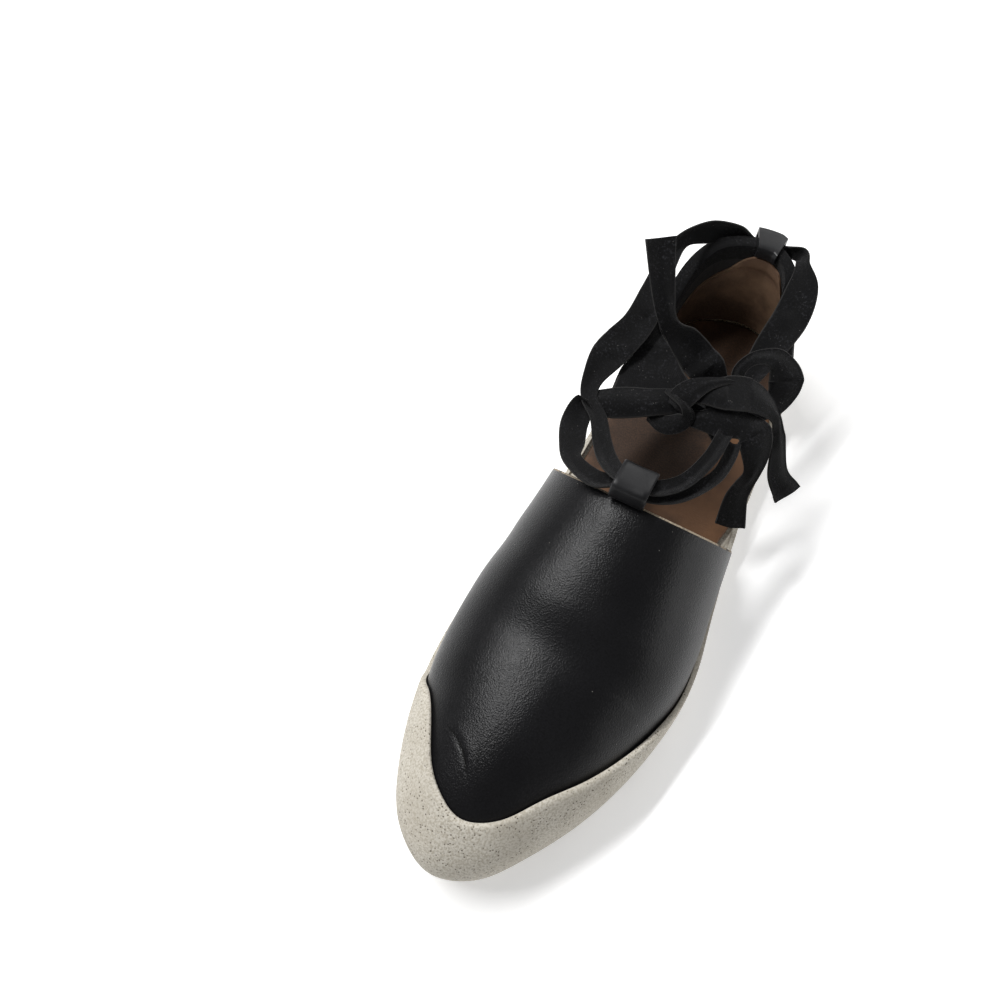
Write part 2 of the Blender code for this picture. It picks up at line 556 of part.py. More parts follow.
def main():
    clear_scene()
    shoe = bpy.data.collections.new("lace_up_flat")
    helpers = bpy.data.collections.new("cutters")
    bpy.context.scene.collection.children.link(shoe)
    bpy.context.scene.collection.children.link(helpers)
    rubber = material("cream_rubber", (0.60, 0.57, 0.49), 0.85)
    tan = material("tan_leather", (0.16, 0.09, 0.05), 0.6)
    black = material("black_leather", (0.012, 0.012, 0.013), 0.42)
    jute = material("natural_jute", (0.50, 0.44, 0.32), 0.95)
    tape = material("black_tape", (0.010, 0.010, 0.011), 0.9)
    outsole(shoe, rubber)
    insole(shoe, tan)
    vamp(shoe, black)
    counter(shoe, jute)
    seam = GAP + 0.1
    folded_over("collar_binding", counter_ribs(2), BINDING_OUTSIDE, BINDING_INSIDE, (seam, seam, seam),
                BINDING_THICK, shoe, tape)
    vamp_loop(shoe, black)
    heel_loop(shoe, black)
    straps = ribbon("ribbon_straps", AROUND, shoe, tape)
    join(straps, ribbon("strap_across", ACROSS, shoe, tape), helpers)
    join(straps, ribbon("strap_inner", INNER, shoe, tape), helpers)
    knot("ribbon_knot", shoe, tape)
    ribbon("ribbon_bow", BOW, shoe, tape)
    ribbon("ribbon_side_tail", SIDE_TAIL, shoe, tape)
    ribbon("ribbon_front_tail", FRONT_TAIL, shoe, tape)
    ribbon("ribbon_upper_tail", UPPER_TAIL, shoe, tape)


main()
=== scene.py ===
import bmesh
import bpy
import numpy as np
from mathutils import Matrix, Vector


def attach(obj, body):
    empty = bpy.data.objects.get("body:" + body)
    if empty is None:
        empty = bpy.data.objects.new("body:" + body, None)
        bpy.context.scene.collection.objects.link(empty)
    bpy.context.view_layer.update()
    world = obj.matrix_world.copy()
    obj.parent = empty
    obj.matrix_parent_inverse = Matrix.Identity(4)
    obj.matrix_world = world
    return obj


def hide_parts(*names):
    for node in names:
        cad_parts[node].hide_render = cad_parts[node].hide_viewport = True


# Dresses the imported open-waist lace-up flat: rubber cup sole, leather vamp, woven heel counter and
# ribbon ties.
#
# Shapes are worked out in millimetres of the shoe's own pattern, (across, station, height): across is
# positive to the outer side of the foot, station is measured forward from the back of the heel, height
# is above the ground.  They become metres of the frame when a mesh is made.

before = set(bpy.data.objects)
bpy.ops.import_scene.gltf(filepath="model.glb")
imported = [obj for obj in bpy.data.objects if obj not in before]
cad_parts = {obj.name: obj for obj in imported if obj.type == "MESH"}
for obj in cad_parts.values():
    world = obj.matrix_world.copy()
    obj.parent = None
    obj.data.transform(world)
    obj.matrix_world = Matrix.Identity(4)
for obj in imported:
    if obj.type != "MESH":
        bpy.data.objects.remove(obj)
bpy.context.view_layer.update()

# ---------------------------------------------------------------- the pattern
MM = 0.001
LENGTH = 256.0            # back of the heel to the tip of the toe
CENTRE_SHIFT = 2.4        # moves the pattern across, so that the whole part is centred
TOE_FAN = 186.0           # station where the toe ribs meet
HEEL_FAN = 30.0           # station where the heel ribs meet
THROAT = 132.5            # station of the vamp's rear edge on the instep
COUNTER_FRONT = 42.0      # rib station of the counter's front edge
GAP = 0.3                 # clearance between pieces that touch
SEAT = 0.5                # the same under the insole
BAND_GAP = 0.5            # the same between the toe band and the vamp
VAMP_WALL = 2.0
COUNTER_WALL = 2.6
WEAVE_RISE = 0.62         # how far a jute stitch stands off the counter
INSOLE_THICK = 2.7
RUBBER_TOP_EDGE = 1.8
TREAD_DEPTH = 0.7
TREAD_PITCH = (9.0, 7.0)    # from lozenge to lozenge: across, along
TREAD_HALF = (3.2, 2.3)     # half of a lozenge: across, along
TREAD_MARGIN = 7.0          # plain rubber left along the sole's edge
BINDING_THICK = 1.1
BINDING_OUTSIDE = 9.0
BINDING_INSIDE = 9.0
BINDING_SIDES = 15.0      # how deep the collar tape hangs inside at the ankle's sides
TAPE_OUTSIDE = 0.62       # most of the counter's height that folded tape covers outside
TAPE_INSIDE = 0.75        # the same inside
CREST_EASE = 1.2          # height over which a folded strip rounds its crest
CREST_CORNER = 0.55       # 1 is a round crest, 0 a square one
RIBBON_WIDTH = 13.0
RIBBON_THICK = 0.9
LOOP_LEATHER = 1.3
RIBBON_SLOT = 2.8
HEEL_LOOP_DEPTH = 10.0
HEEL_LOOP_INSIDE = 2.2
VAMP_LOOP_CENTRE = (-6.6, 128.0, 61.9)
VAMP_LOOP_OPENING = (10.4, 5.6)     # along the foot, up
VAMP_LOOP_WIDTH = 12.0
VAMP_LOOP_LEAN = 0.2                # radians
VAMP_LOOP_CORNER = 0.45             # 1 is a round ring, 0 a square one
WELD = 0.01 * MM                    # corners closer than this are one
SLIVER = 0.004 * MM

OUTLINE = [  # across, station
    (-1, 0), (18, 7), (27, 25), (30, 60), (32, 100), (35.5, 130), (38.8, 155),
    (38.5, 175), (33.5, 198), (25, 219.5), (13.5, 238.5), (3.5, 250.5), (-9, 256), (-20, 253),
    (-30.5, 243.5), (-39, 226), (-44, 207), (-45.5, 185), (-44, 162), (-39.5, 139), (-37, 115),
    (-36.5, 85), (-36.5, 50), (-32.0, 20), (-20.5, 6.0),
]
SOLE_FORM = [  # station, lift of the underside, thickness
    (0, 0.6, 8.6), (8, 0.0, 8.8), (58, 0.0, 8.4), (92, 1.2, 7.4), (126, 0.0, 7.6),
    (190, 0.0, 7.0), (215, 1.2, 7.0), (240, 4.2, 7.0), (256, 7.0, 7.0),
]
SPINE = [  # station, across, crown height of the upper
    (0, -1, 58.5), (132.5, -1, 58.5), (150, -1.5, 54.5), (168, -2.0, 49.5), (186, -2.5, 43.0),
]
SKEW = [  # station on the spine, how far back the foot of that slanting rib lies
    (30, 0), (46, 0), (132.5, 25.5), (160, 12), (186, 0),
]
RIBS = {  # station of the rib's foot, inset, lift, bulge, reach as a share of the rib
    1: [
        (0, 2.6, 20, 0.0, 0.50), (95, 2.6, 20, 0.5, 0.60), (107, 2.4, 20, 8.0, 0.70),
        (140, 2.4, 20, 5.0, 0.62), (175, 2.8, 19, 2.0, 0.58), (205, 3.2, 18, 0.8, 0.58),
        (235, 3.4, 15, 0.8, 0.50), (256, 3.4, 13, 0.8, 0.46),
    ],
    -1: [
        (0, 2.6, 20, 0.0, 0.50), (95, 2.6, 20, 0.5, 0.60), (107, 2.0, 20, 11.5, 0.86),
        (130, 2.2, 20, 12.5, 0.82), (150, 2.4, 20, 10.0, 0.75), (170, 2.4, 19, 7.5, 0.68),
        (197, 2.6, 18, 5.0, 0.62), (215, 3.2, 17, 1.6, 0.56), (235, 3.4, 15, 1.2, 0.50),
        (256, 3.4, 13, 0.8, 0.46),
    ],
}
RUBBER_BAND = {  # station of the rib's foot, height of rubber measured up the upper
    1: [
        (0, 2.4), (95, 2.4), (106, 1.2), (140, 1.4), (160, 4.0), (185, 12.5), (215, 20.0),
        (240, 23.0), (256, 22.5),
    ],
    -1: [
        (0, 2.4), (95, 2.4), (107, 1.2), (140, 2.0), (165, 2.6), (201, 2.8), (207, 10.0),
        (213, 16.5), (222, 20.0), (234, 21.5), (256, 22.5),
    ],
}
INSOLE_INSET = [(0, 6.3), (40.5, 6.3), (47, 3.6), (98, 3.6), (108, 5.8), (225, 7.6), (256, 8.4)]
COUNTER_TOP = [  # station of the rib's foot, height of the wall above the sole
    (0, 47.5), (7, 46.5), (16, 41.0), (26, 32.0), (40.5, 15.0),
]
COUNTER_LEAN = [  # height above the sole, lean inward at the back, more at the sides, drift inward
    (0, 0.6, 0.0, 0.0), (4, 0.5, 0.0, 0.0), (14, 0.5, 0.5, 0.7), (26, 1.1, 1.8, 2.5),
    (38, 2.1, 3.2, 5.0), (50, 3.1, 4.4, 7.0),
]

# Ribbon routes: across, station, height, width as a share, then the way the width lies.
AROUND = [
    (11, 59, 45, 0.6, (0.9, -0.3, 0.3)), (13, 46, 50, 0.9, (0.9, -0.2, 0.2)),
    (15, 33, 55, 1.0, (1, -0.2, 0.1)), (14, 22, 59.5, 0.85, (1, -0.1, 0.1)),
    (10.5, 13, 61, 0.4, (0.9, 0.1, 0.3)), (8.5, 6, 58.5, 0.5, (0.1, 0.1, 1)),
    (2, 3, 55, 0.4, (0, 0.1, 1)), (-4, 3, 54.5, 0.4, (0, 0.1, 1)),
    (-10, 4.5, 55, 0.4, (0, 0.1, 1)), (-17, 5.5, 58, 0.6, (-0.1, 0.2, 1)),
    (-26, 12, 59.5, 0.7, (-0.4, 0, 0.9)), (-33, 22, 61.5, 0.5, (-0.5, 0.1, 0.85)),
    (-34.5, 34, 61, 0.6, (-0.8, -0.2, 0.5)), (-33, 50, 59, 0.8, (-1, -0.2, 0.2)),
    (-33, 64, 56, 0.9, (-1, 0, 0.1)), (-37, 78, 53, 1.0, (-1, -0.1, 0.1)),
    (-38, 90, 51, 0.6, (-1, 0, 0.1)), (-35.5, 98, 51, 0.45, (-1, 0.2, -0.1)),
    (-29, 105, 53, 0.45, (-0.9, 0.4, -0.1)), (-23, 115, 55.5, 0.5, (-0.7, 0.7, -0.1)),
    (-18, 122, 58.5, 0.5, (-0.5, 0.9, 0)), (-12, 127, 62, 0.45, (-0.2, 1, 0.1)),
    (-6, 128, 63, 0.42, (0, 1, 0.2)), (0, 127, 63, 0.44, (0.2, 1, 0.1)),
    (7, 119, 61, 0.4, (0.7, 0.7, 0)), (11, 107, 60.5, 0.4, (1, 0.3, 0)),
    (12, 95, 59.5, 0.4, (1, 0, 0)),
]
ACROSS = [
    (-7, 87, 56, 0.7, (0.3, 0.9, -0.2)), (-15, 91, 54.5, 0.8, (0.4, 0.9, -0.2)),
    (-27, 95, 51, 0.95, (0.4, 0.9, -0.1)), (-35.5, 99.5, 50, 0.7, (-0.4, 0.9, 0)),
    (-36, 108, 49.5, 0.75, (-0.9, 0.5, 0)), (-33, 117, 51, 0.7, (-0.9, 0.4, 0)),
    (-29, 125, 54, 0.5, (-0.5, 0.9, 0)), (-19, 130, 58, 0.5, (0, 1, 0)),
    (-12, 129, 60.5, 0.44, (0, 1, 0.2)), (-6, 128.5, 60.5, 0.42, (0, 1, 0.2)),
    (0, 128.5, 60.5, 0.44, (0.1, 1, 0.1)), (8, 123, 59.5, 0.4, (0.3, 1, 0)),
    (15, 112, 58.5, 0.35, (0.9, 0.4, 0)), (16.5, 102, 57.5, 0.35, (1, 0, 0)),
    (16, 95, 57, 0.35, (1, -0.2, 0)),
]
# The inner strap starts up to 2.3 tape widths wide: a ribbon whose extra width is a dark sheet of painted
# shade between the inner ankle band and the knot.
INNER_STRAP_AND_SHADE = [
    (-17, 83.5, 49, 2.3, (-0.9, 0.4, 0)), (-20, 77, 49.5, 1.9, (-0.9, 0.4, 0)),
    (-23, 70, 50, 1.3, (-0.9, 0.4, 0)), (-28, 63, 53, 0.7, (-0.8, 0.6, 0)),
    (-32, 57, 57.5, 0.5, (-0.8, 0.6, 0)),
]
KNOT_CENTRE = (5.0, 80.0, 56.5)
KNOT_RADII = (9.0, 4.6, 4.0)
WRAP = [
    (-12, 87, 58.5, 0.15, (0.6, -0.8, 0)), (-4.5, 92, 61.5, 0.2, (0.6, -0.8, 0)),
    (-1.5, 93.5, 58.5, 0.35, (0.9, -0.4, 0)), (-3.5, 95, 55, 0.5, (1, 0.3, 0)),
    (-8, 96, 52, 0.5, (0.9, 0.5, 0)), (-14, 94, 50.5, 0.3, (0.7, 0.7, 0)),
]
CROSSING = [
    (9, 76, 62.5, 0.15, (0.9, 0.5, 0)), (5, 78, 63.8, 0.2, (0.9, 0.5, 0)),
    (0, 82, 64.2, 0.4, (0.9, 0.5, 0)), (-4, 86, 63, 0.65, (0.9, 0.5, 0)),
    (-6.5, 90, 60.5, 0.7, (0.9, 0.5, 0)), (-7, 91.5, 57.5, 0.5, (0.9, 0.5, 0)),
]
BOW = [
    (9, 72.5, 57, 0.35, (-0.9, 0.3, 0.3)), (7, 69.5, 60.5, 0.35, (-1, 0.1, 0)),
    (9, 64.5, 62.5, 0.35, (-0.9, 0, 0.4)), (13, 60, 61.5, 0.45, (-0.5, -0.7, 0.4)),
    (18, 58, 59, 0.75, (0.4, -0.9, 0.2)), (23, 61, 55, 1.0, (0.7, -0.7, 0.1)),
    (23, 67, 50, 0.7, (0.9, -0.4, 0)), (17, 74, 48, 0.6, (0.8, 0.6, 0)),
    (9, 79, 47.5, 0.6, (0.5, 0.9, 0)), (0, 81, 47, 0.6, (0.2, 1, 0)),
    (-15, 81, 46, 0.6, (0, 1, 0)),
]
SIDE_TAIL = [
    (10, 86.5, 52.5, 0.35, (0.1, -1, 0)), (3, 86.5, 52.5, 0.35, (0.1, -1, 0)),
    (-2.5, 86.5, 54, 0.35, (-0.1, -1, 0)), (-4.5, 86.5, 57.5, 0.38, (-0.1, -1, 0)),
    (-2, 85.5, 61, 0.55, (-0.2, -1, 0.1)), (2, 83.5, 62.5, 0.85, (-0.2, -1, 0.1)),
    (7, 81.5, 63, 1.0, (-0.1, -1, 0.1)), (14, 78, 62, 1.0, (-0.3, -0.9, 0.1)),
    (20, 77, 59.5, 0.75, (-0.2, -1, 0.1)), (25, 77, 55, 0.4, (0.2, -1, 0)),
    (28, 77.5, 48.5, 0.4, (0.7, -0.7, -0.3)), (31, 80, 42.5, 0.75, (0.5, -0.7, -0.5)),
    (35, 86, 37, 0.9, (0.6, -0.6, -0.5)), (41, 89, 32.5, 0.9, (0.8, -0.4, -0.3)),
]
FRONT_TAIL = [
    (-14, 86, 51, 0.4, (-0.6, -0.7, 0.3)), (-9, 90, 52.5, 0.4, (-0.5, -0.7, 0.4)),
    (-3, 92, 55.5, 0.4, (-0.3, -0.8, 0.5)), (2, 92, 57, 0.5, (-0.2, -0.8, 0.5)),
    (9, 90, 58.5, 0.85, (0, -0.9, 0.4)), (16, 87, 57.5, 0.8, (0.5, -0.9, 0.1)),
    (21, 88, 56, 1.0, (0.7, -0.7, 0)), (24.5, 92, 51, 0.75, (0.8, -0.6, 0.1)),
    (26, 95, 44, 0.45, (1, -0.2, 0.1)), (25.5, 96, 36, 0.5, (1, 0, 0.1)),
    (25.5, 98, 29, 0.65, (0.9, -0.3, 0.1)), (28, 103, 19, 0.85, (1, -0.2, 0.1)),
]
UPPER_TAIL = [
    (12.5, 91.5, 50.5, 0.6, (0.7, -0.6, 0)), (7, 86, 50, 0.6, (0.8, -0.4, 0)),
    (5, 79, 50, 0.6, (0.9, -0.4, 0)), (2, 74, 54, 0.65, (0.8, -0.6, 0)),
    (-3, 73.5, 60, 1.0, (0.7, -0.8, 0.1)), (-8, 72.5, 62.5, 1.0, (0.7, -0.8, 0.1)),
    (-15, 71.5, 68, 0.8, (0.8, -0.5, 0.1)), (-21, 72, 74, 0.5, (1, -0.2, 0.1)),
    (-26, 68, 81, 0.6, (0.9, -0.4, 0.1)), (-34, 57.5, 92.5, 0.8, (0.7, -0.7, 0.1)),
]


# ---------------------------------------------------------------- reading the pattern
def follow(table, at, column=1):
    """Monotone cubic through the rows of a table, held level past its ends."""
    xs = np.array([row[0] for row in table], float)
    ys = np.array([row[column] for row in table], float)
    step = np.diff(xs)
    slope = np.diff(ys) / step
    lean = np.zeros(len(xs))
    rising = slope[:-1] * slope[1:] > 0
    both = np.where(rising, slope[:-1] + slope[1:], 1.0)
    lean[1:-1] = np.where(rising, 2 * slope[:-1] * slope[1:] / both, 0.0)
    at = np.clip(at, xs[0], xs[-1])
    k = np.clip(np.searchsorted(xs, at, "right") - 1, 0, len(xs) - 2)
    u = (at - xs[k]) / step[k]
    start = ys[k] * (1 + 2 * u) * (1 - u) ** 2 + step[k] * lean[k] * u * (1 - u) ** 2
    end = ys[k + 1] * u * u * (3 - 2 * u) + step[k] * lean[k + 1] * u * u * (u - 1)
    return start + end


def smooth_through(points, per_span, closed=False):
    """Catmull-Rom curve through points of any dimension."""
    p = np.array(points, float)
    if closed:
        p = np.vstack([p[-1], p, p[0], p[1]])
    else:
        p = np.vstack([2 * p[0] - p[1], p, 2 * p[-1] - p[-2]])
    u = (np.arange(per_span) / per_span)[:, None]
    spans = []
    for a, b, c, d in zip(p[:-3], p[1:-2], p[2:-1], p[3:]):
        bend = (2 * a - 5 * b + 4 * c - d) * u**2 + (3 * b - a - 3 * c + d) * u**3
        spans.append(b + 0.5 * ((c - a) * u + bend))
    if not closed:
        spans.append(p[-2][None])
    return np.vstack(spans)


def run_along(path):
    """Distance from a path's first point to each of its points."""
    return np.concatenate([[0], np.cumsum(np.linalg.norm(np.diff(path, axis=0), axis=1))])


EDGE = smooth_through(OUTLINE, 32, closed=True)


def sole_lift(station):
    return follow(SOLE_FORM, station, 1)


def sole_top(station):
    return follow(SOLE_FORM, station, 1) + follow(SOLE_FORM, station, 2)


def to_frame(across, station, height):
    """Pattern millimetres to metres of the frame."""
    return np.stack(np.broadcast_arrays(across + CENTRE_SHIFT, LENGTH / 2 - station, height), -1) * MM


def reach_of_edge(centres, ways):
    """Distance from each centre to the sole's outline along its way: the furthest crossing."""
    off = EDGE[None] - centres[:, None]
    along = (off * ways[:, None]).sum(-1)
    aside = off[..., 1] * ways[:, None, 0] - off[..., 0] * ways[:, None, 1]
    after = np.roll(aside, -1, 1)
    crosses = (aside <= 0) != (after <= 0)
    share = aside / np.where(crosses, aside - after, 1.0)
    met = along + share * (np.roll(along, -1, 1) - along)
    return np.where(crosses, met, -1e9).max(1)


class Ribs:
    """Planes from the spine out to the sole's edge, where sections of the shoe are drawn.

    A turn of 0..1 runs round the toe fan, 1..2 down a side and 2..3 round the heel fan.  Ribs of the
    sides slant forward as they climb, so that the throat's edge lies on one of them."""

    def __init__(self, side, turn):
        turn = np.asarray(turn, float)
        self.side = np.broadcast_to(np.asarray(side, float), turn.shape)
        self.turn = turn
        self.ridge = TOE_FAN + (HEEL_FAN - TOE_FAN) * np.clip(turn - 1, 0, 1)
        self.skew = follow(SKEW, self.ridge)
        self.root = np.stack([follow(SPINE, self.ridge), self.ridge - self.skew], -1)
        angle = np.pi / 2 * (np.maximum(1 - turn, 0) - np.maximum(turn - 2, 0))
        self.way = np.stack([self.side * np.cos(angle), np.sin(angle)], -1)
        self.span = reach_of_edge(self.root, self.way)
        self.foot = self.root[:, 1] + self.way[:, 1] * self.span
        self.low = sole_top(self.foot) + GAP
        self.crown = follow(SPINE, self.ridge, 2)

    def by_side(self, tables, column=1):
        outer, inner = (follow(tables[side], self.foot, column) for side in (1, -1))
        return np.where(self.side > 0, outer, inner)

    def straight(self, out, height):
        """Frame position this far out from the spine, straight above the sole."""
        across = self.root[:, 0, None] + self.way[:, 0, None] * out
        return to_frame(across, self.station(out), height)

    def place(self, out, height):
        """The same, on the rib's slant."""
        rise = (self.crown - self.low)[:, None]
        climb = np.clip((height - self.low[:, None]) / rise, 0, 1)
        spot = self.straight(out, height)
        spot[..., 1] -= self.skew[:, None] * climb * MM
        return spot

    def station(self, out):
        return self.root[:, 1, None] + self.way[:, 1, None] * out

    def inset(self):
        return self.by_side(RIBS, 1)

    def upper_line(self):
        """The upper's outer surface as (out, height): a cubic Bezier from the sole to the spine."""
        lift, bulge, reach = (self.by_side(RIBS, column) for column in (2, 3, 4))
        fall = (self.crown - follow(SPINE, self.ridge - 1.0, 2)) * self.way[:, 1]
        start = np.stack([self.span - self.inset(), self.low], -1)
        first = start + np.stack([bulge, lift], -1)
        second = np.stack([reach * self.span, self.crown + fall * reach * self.span], -1)
        end = np.stack([0 * self.crown, self.crown], -1)
        u = np.linspace(0, 1, 81)[None, :, None]
        start, first, second, end = (p[:, None] for p in (start, first, second, end))
        return ((1 - u) ** 3 * start + 3 * u * (1 - u) ** 2 * first
                + 3 * u * u * (1 - u) * second + u**3 * end)


def along_lines(lines, distance):
    """Points at given distances along each of many lines, with the normal that faces out."""
    step = np.linalg.norm(np.diff(lines, axis=1), axis=2)
    run = np.concatenate([np.zeros((len(lines), 1)), np.cumsum(step, 1)], 1)
    lane = np.arange(len(lines))[:, None] * 1000.0
    slope = np.gradient(lines, axis=1) / np.gradient(run, axis=1)[..., None]
    where = (np.minimum(distance, run[:, -1:]) + lane).ravel()
    known = (run + lane).ravel()

    def read(values):
        return np.interp(where, known, values.ravel()).reshape(distance.shape)

    point = np.stack([read(lines[..., 0]), read(lines[..., 1])], -1)
    ahead = np.stack([read(slope[..., 0]), read(slope[..., 1])], -1)
    ahead /= np.linalg.norm(ahead, axis=-1, keepdims=True)
    return point, np.stack([ahead[..., 1], -ahead[..., 0]], -1)


def round_the_foot(toe, side, heel):
    """Ribs in order: tip, outer side, heel, inner side."""
    turns = np.concatenate([np.linspace(0, 1, toe)[:-1], np.linspace(1, 2, side)[:-1],
                            np.linspace(2, 3, heel)])
    sides = np.concatenate([np.ones(len(turns)), -np.ones(len(turns) - 2)])
    return Ribs(sides, np.concatenate([turns, turns[1:-1][::-1]]))


def ribs_past_heel(turns):
    """Ribs whose turns run on past the back of the heel, 3, to the inner side."""
    return Ribs(np.where(turns <= 3, 1.0, -1.0), np.where(turns <= 3, turns, 6 - turns))


def turn_of(station):
    return 1 + (TOE_FAN - station) / (TOE_FAN - HEEL_FAN)


def unit(v):
    return v / np.maximum(np.linalg.norm(v, axis=-1, keepdims=True), 1e-12)


def waves(points, size, seed, count=7):
    """A smooth random height of about -1 to 1: a sum of sines along seeded directions."""
    draw = np.random.default_rng(seed)
    way = draw.normal(size=(count, 3))
    way *= (2 * np.pi / size) * draw.uniform(0.6, 1.5, (count, 1)) / np.linalg.norm(way, axis=1)[:, None]
    phase = draw.uniform(0, 2 * np.pi, count)
    return np.sin(points @ way.T + phase).sum(-1) / np.sqrt(count)


# ---------------------------------------------------------------- making meshes
def mesh_of(name, corners, faces, finishes, uv=None, of_face=None, marks=None, merge=True, sharp=None):
    """A mesh object in metres with closed seams and outward faces; uv holds one pair per corner, marks
    one number per corner under each name."""
    mesh = bpy.data.meshes.new(name)
    mesh.from_pydata(corners, [], faces)
    if uv is not None:
        layer = mesh.uv_layers.new(name="cloth")
        index = np.empty(len(mesh.loops), int)
        mesh.loops.foreach_get("vertex_index", index)
        layer.data.foreach_set("uv", uv[index].astype(np.float32).ravel())
    for finish in finishes:
        mesh.materials.append(finish)
    if of_face is not None:
        mesh.polygons.foreach_set("material_index", of_face)
    for mark, values in (marks or {}).items():
        layer = mesh.attributes.new(mark, "FLOAT", "POINT")
        layer.data.foreach_set("value", values.astype(np.float32).ravel())
    if merge:
        shape = bmesh.new()
        shape.from_mesh(mesh)
        bmesh.ops.remove_doubles(shape, verts=shape.verts, dist=WELD)
        bmesh.ops.dissolve_degenerate(shape, edges=shape.edges, dist=SLIVER)
        bmesh.ops.recalc_face_normals(shape, faces=shape.faces)
        shape.to_mesh(mesh)
        shape.free()
    mesh.shade_smooth()
    if sharp:
        mesh.set_sharp_from_angle(angle=np.radians(sharp))
    made = bpy.data.objects.new(name, mesh)
    bpy.context.scene.collection.objects.link(made)
    return made


def quads(columns, rows, around=False, section=False, first=0):
    """Faces of a grid whose corner (column, row) has index first + column * rows + row."""
    i = np.arange(columns if around else columns - 1)[:, None]
    j = np.arange(rows if section else rows - 1)[None]
    k, m = (i + 1) % columns, (j + 1) % rows
    return first + np.stack([i * rows + j, k * rows + j, k * rows + m, i * rows + m], -1).reshape(-1, 4)


def end_caps(columns, rows, first=0):
    """Faces that close both ends of a flat, solid section, corner to the corner facing it."""
    k = np.arange(rows // 2 - 1)
    near = first + np.stack([k, k + 1, rows - 2 - k, rows - 1 - k], -1)
    return np.vstack([near, near[:, ::-1] + (columns - 1) * rows])


def grid_piece(name, grid, finishes, around=False, section=False, capped=False, **more):
    """A piece from one grid of points (columns, rows, 3)."""
    columns, rows = grid.shape[:2]
    faces = quads(columns, rows, around, section)
    if capped:
        faces = np.vstack([faces, end_caps(columns, rows)])
    if more.get("uv") is not None:
        more["uv"] = more["uv"].reshape(-1, 2)
    return mesh_of(name, grid.reshape(-1, 3), faces, finishes, **more)


def dress(piece, slot, *nodes):
    """Rides on the shoe and stands for CAD nodes; slot is not used."""
    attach(piece, "root")
    if nodes:
        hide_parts(*nodes)
    return piece


def levels(piece, kind, name, count=None, **settings):
    """A modifier with the same level in the view and the render."""
    made = piece.modifiers.new(name, kind)
    if count is not None:
        made.levels = made.render_levels = count
    for key, value in settings.items():
        setattr(made, key, value)
    return made


def carried(path, across, face, half_wide, lift, thick):
    """A flat section carried along a path, as a grid: down its upper face, back up its lower face.

    path, across and face are (n, 3); half_wide is (n, 1); lift and thick are (n, k)."""
    v = np.linspace(-1, 1, lift.shape[1])
    middle = path[:, None] + across[:, None] * (half_wide * v)[..., None] + face[:, None] * lift[..., None]
    half = face[:, None] * thick[..., None] / 2
    return np.concatenate([middle + half, (middle - half)[:, ::-1]], 1)


def tube(path, radius, sides, twist=0.0, groove=0.0, plies=2):
    """A round cord as a grid: circles carried along a path, with plies that wind as they go."""
    ahead = unit(np.gradient(path, axis=0))
    side = unit(np.cross(ahead, (0.13, 0.31, 0.94)))
    up = np.cross(side, ahead)
    run = run_along(path)
    angle = np.arange(sides) * 2 * np.pi / sides
    ply = np.abs(np.cos(plies / 2 * (angle[None] - twist * run[:, None])))
    size = radius * (1 - groove * (1 - ply))
    ring = np.cos(angle)[None, :, None] * side[:, None] + np.sin(angle)[None, :, None] * up[:, None]
    return path[:, None] + ring * size[..., None]


# ---------------------------------------------------------------- finishes
def paint(red, green, blue):
    """A colour as it looks, 0 to 255, in the renderer's linear values."""
    look = np.array([red, green, blue]) / 255
    return (*np.where(look <= 0.04045, look / 12.92, ((look + 0.055) / 1.055) ** 2.4), 1.0)


class Finish:
    """A material whose nodes are added one at a time, each call returning a node's output."""

    def __init__(self, name, **shader):
        self.made = bpy.data.materials.new(name)
        self.made.use_nodes = True
        self.tree = self.made.node_tree
        self.shader = self.tree.nodes["Principled BSDF"]
        for key, value in shader.items():
            self.shader.inputs[key.replace("_", " ").title().replace("Ior", "IOR")].default_value = value
        where = self.tree.nodes.new("ShaderNodeTexCoord")
        self.place, self.cloth = where.outputs["Object"], where.outputs["UV"]

    def add(self, kind, result, feeds, **settings):
        node = self.tree.nodes.new("ShaderNode" + kind)
        for key, value in settings.items():
            setattr(node, key, value)
        for key, value in feeds.items():
            if isinstance(value, bpy.types.NodeSocket):
                self.tree.links.new(value, node.inputs[key])
            else:
                node.inputs[key].default_value = value
        return node.outputs[result]

    def noise(self, scale, detail=3.0, rough=0.5, at=None):
        feeds = {"Vector": at or self.place, "Scale": scale, "Detail": detail, "Roughness": rough}
        return self.add("TexNoise", "Fac", feeds)

    def cells(self, scale, feature="F1"):
        return self.add("TexVoronoi", "Distance", {"Vector": self.place, "Scale": scale}, feature=feature)

    def math(self, operation, a, b=0.0):
        return self.add("Math", 0, {0: a, 1: b}, operation=operation)

    def ramp(self, value, low, high, to_low=0.0, to_high=1.0):
        """Value from low..high spread over to_low..to_high with soft ends."""
        feeds = {"Value": value, "From Min": low, "From Max": high, "To Min": to_low, "To Max": to_high}
        return self.add("MapRange", "Result", feeds, interpolation_type="SMOOTHSTEP")

    def mix(self, share, a, b):
        return self.add("Mix", 2, {0: share, 6: a, 7: b}, data_type="RGBA")

    def stretched(self, at, scale):
        return self.add("Mapping", "Vector", {"Vector": at, "Scale": scale})

    def split(self, at):
        node = self.tree.nodes.new("ShaderNodeSeparateXYZ")
        self.tree.links.new(at, node.inputs[0])
        return node.outputs

    def attribute(self, name):
        node = self.tree.nodes.new("ShaderNodeAttribute")
        node.attribute_name = name
        return node.outputs["Fac"]

    def bump(self, height, depth, under=None, strength=1.0):
        feeds = {"Height": height, "Distance": depth * MM, "Strength": strength}
        if under is not None:
            feeds["Normal"] = under
        return self.add("Bump", "Normal", feeds)

    def set(self, **given):
        names = {"colour": "Base Color", "rough": "Roughness", "normal": "Normal"}
        for key, value in given.items():
            self.tree.links.new(value, self.shader.inputs[names[key]])
        return self.made


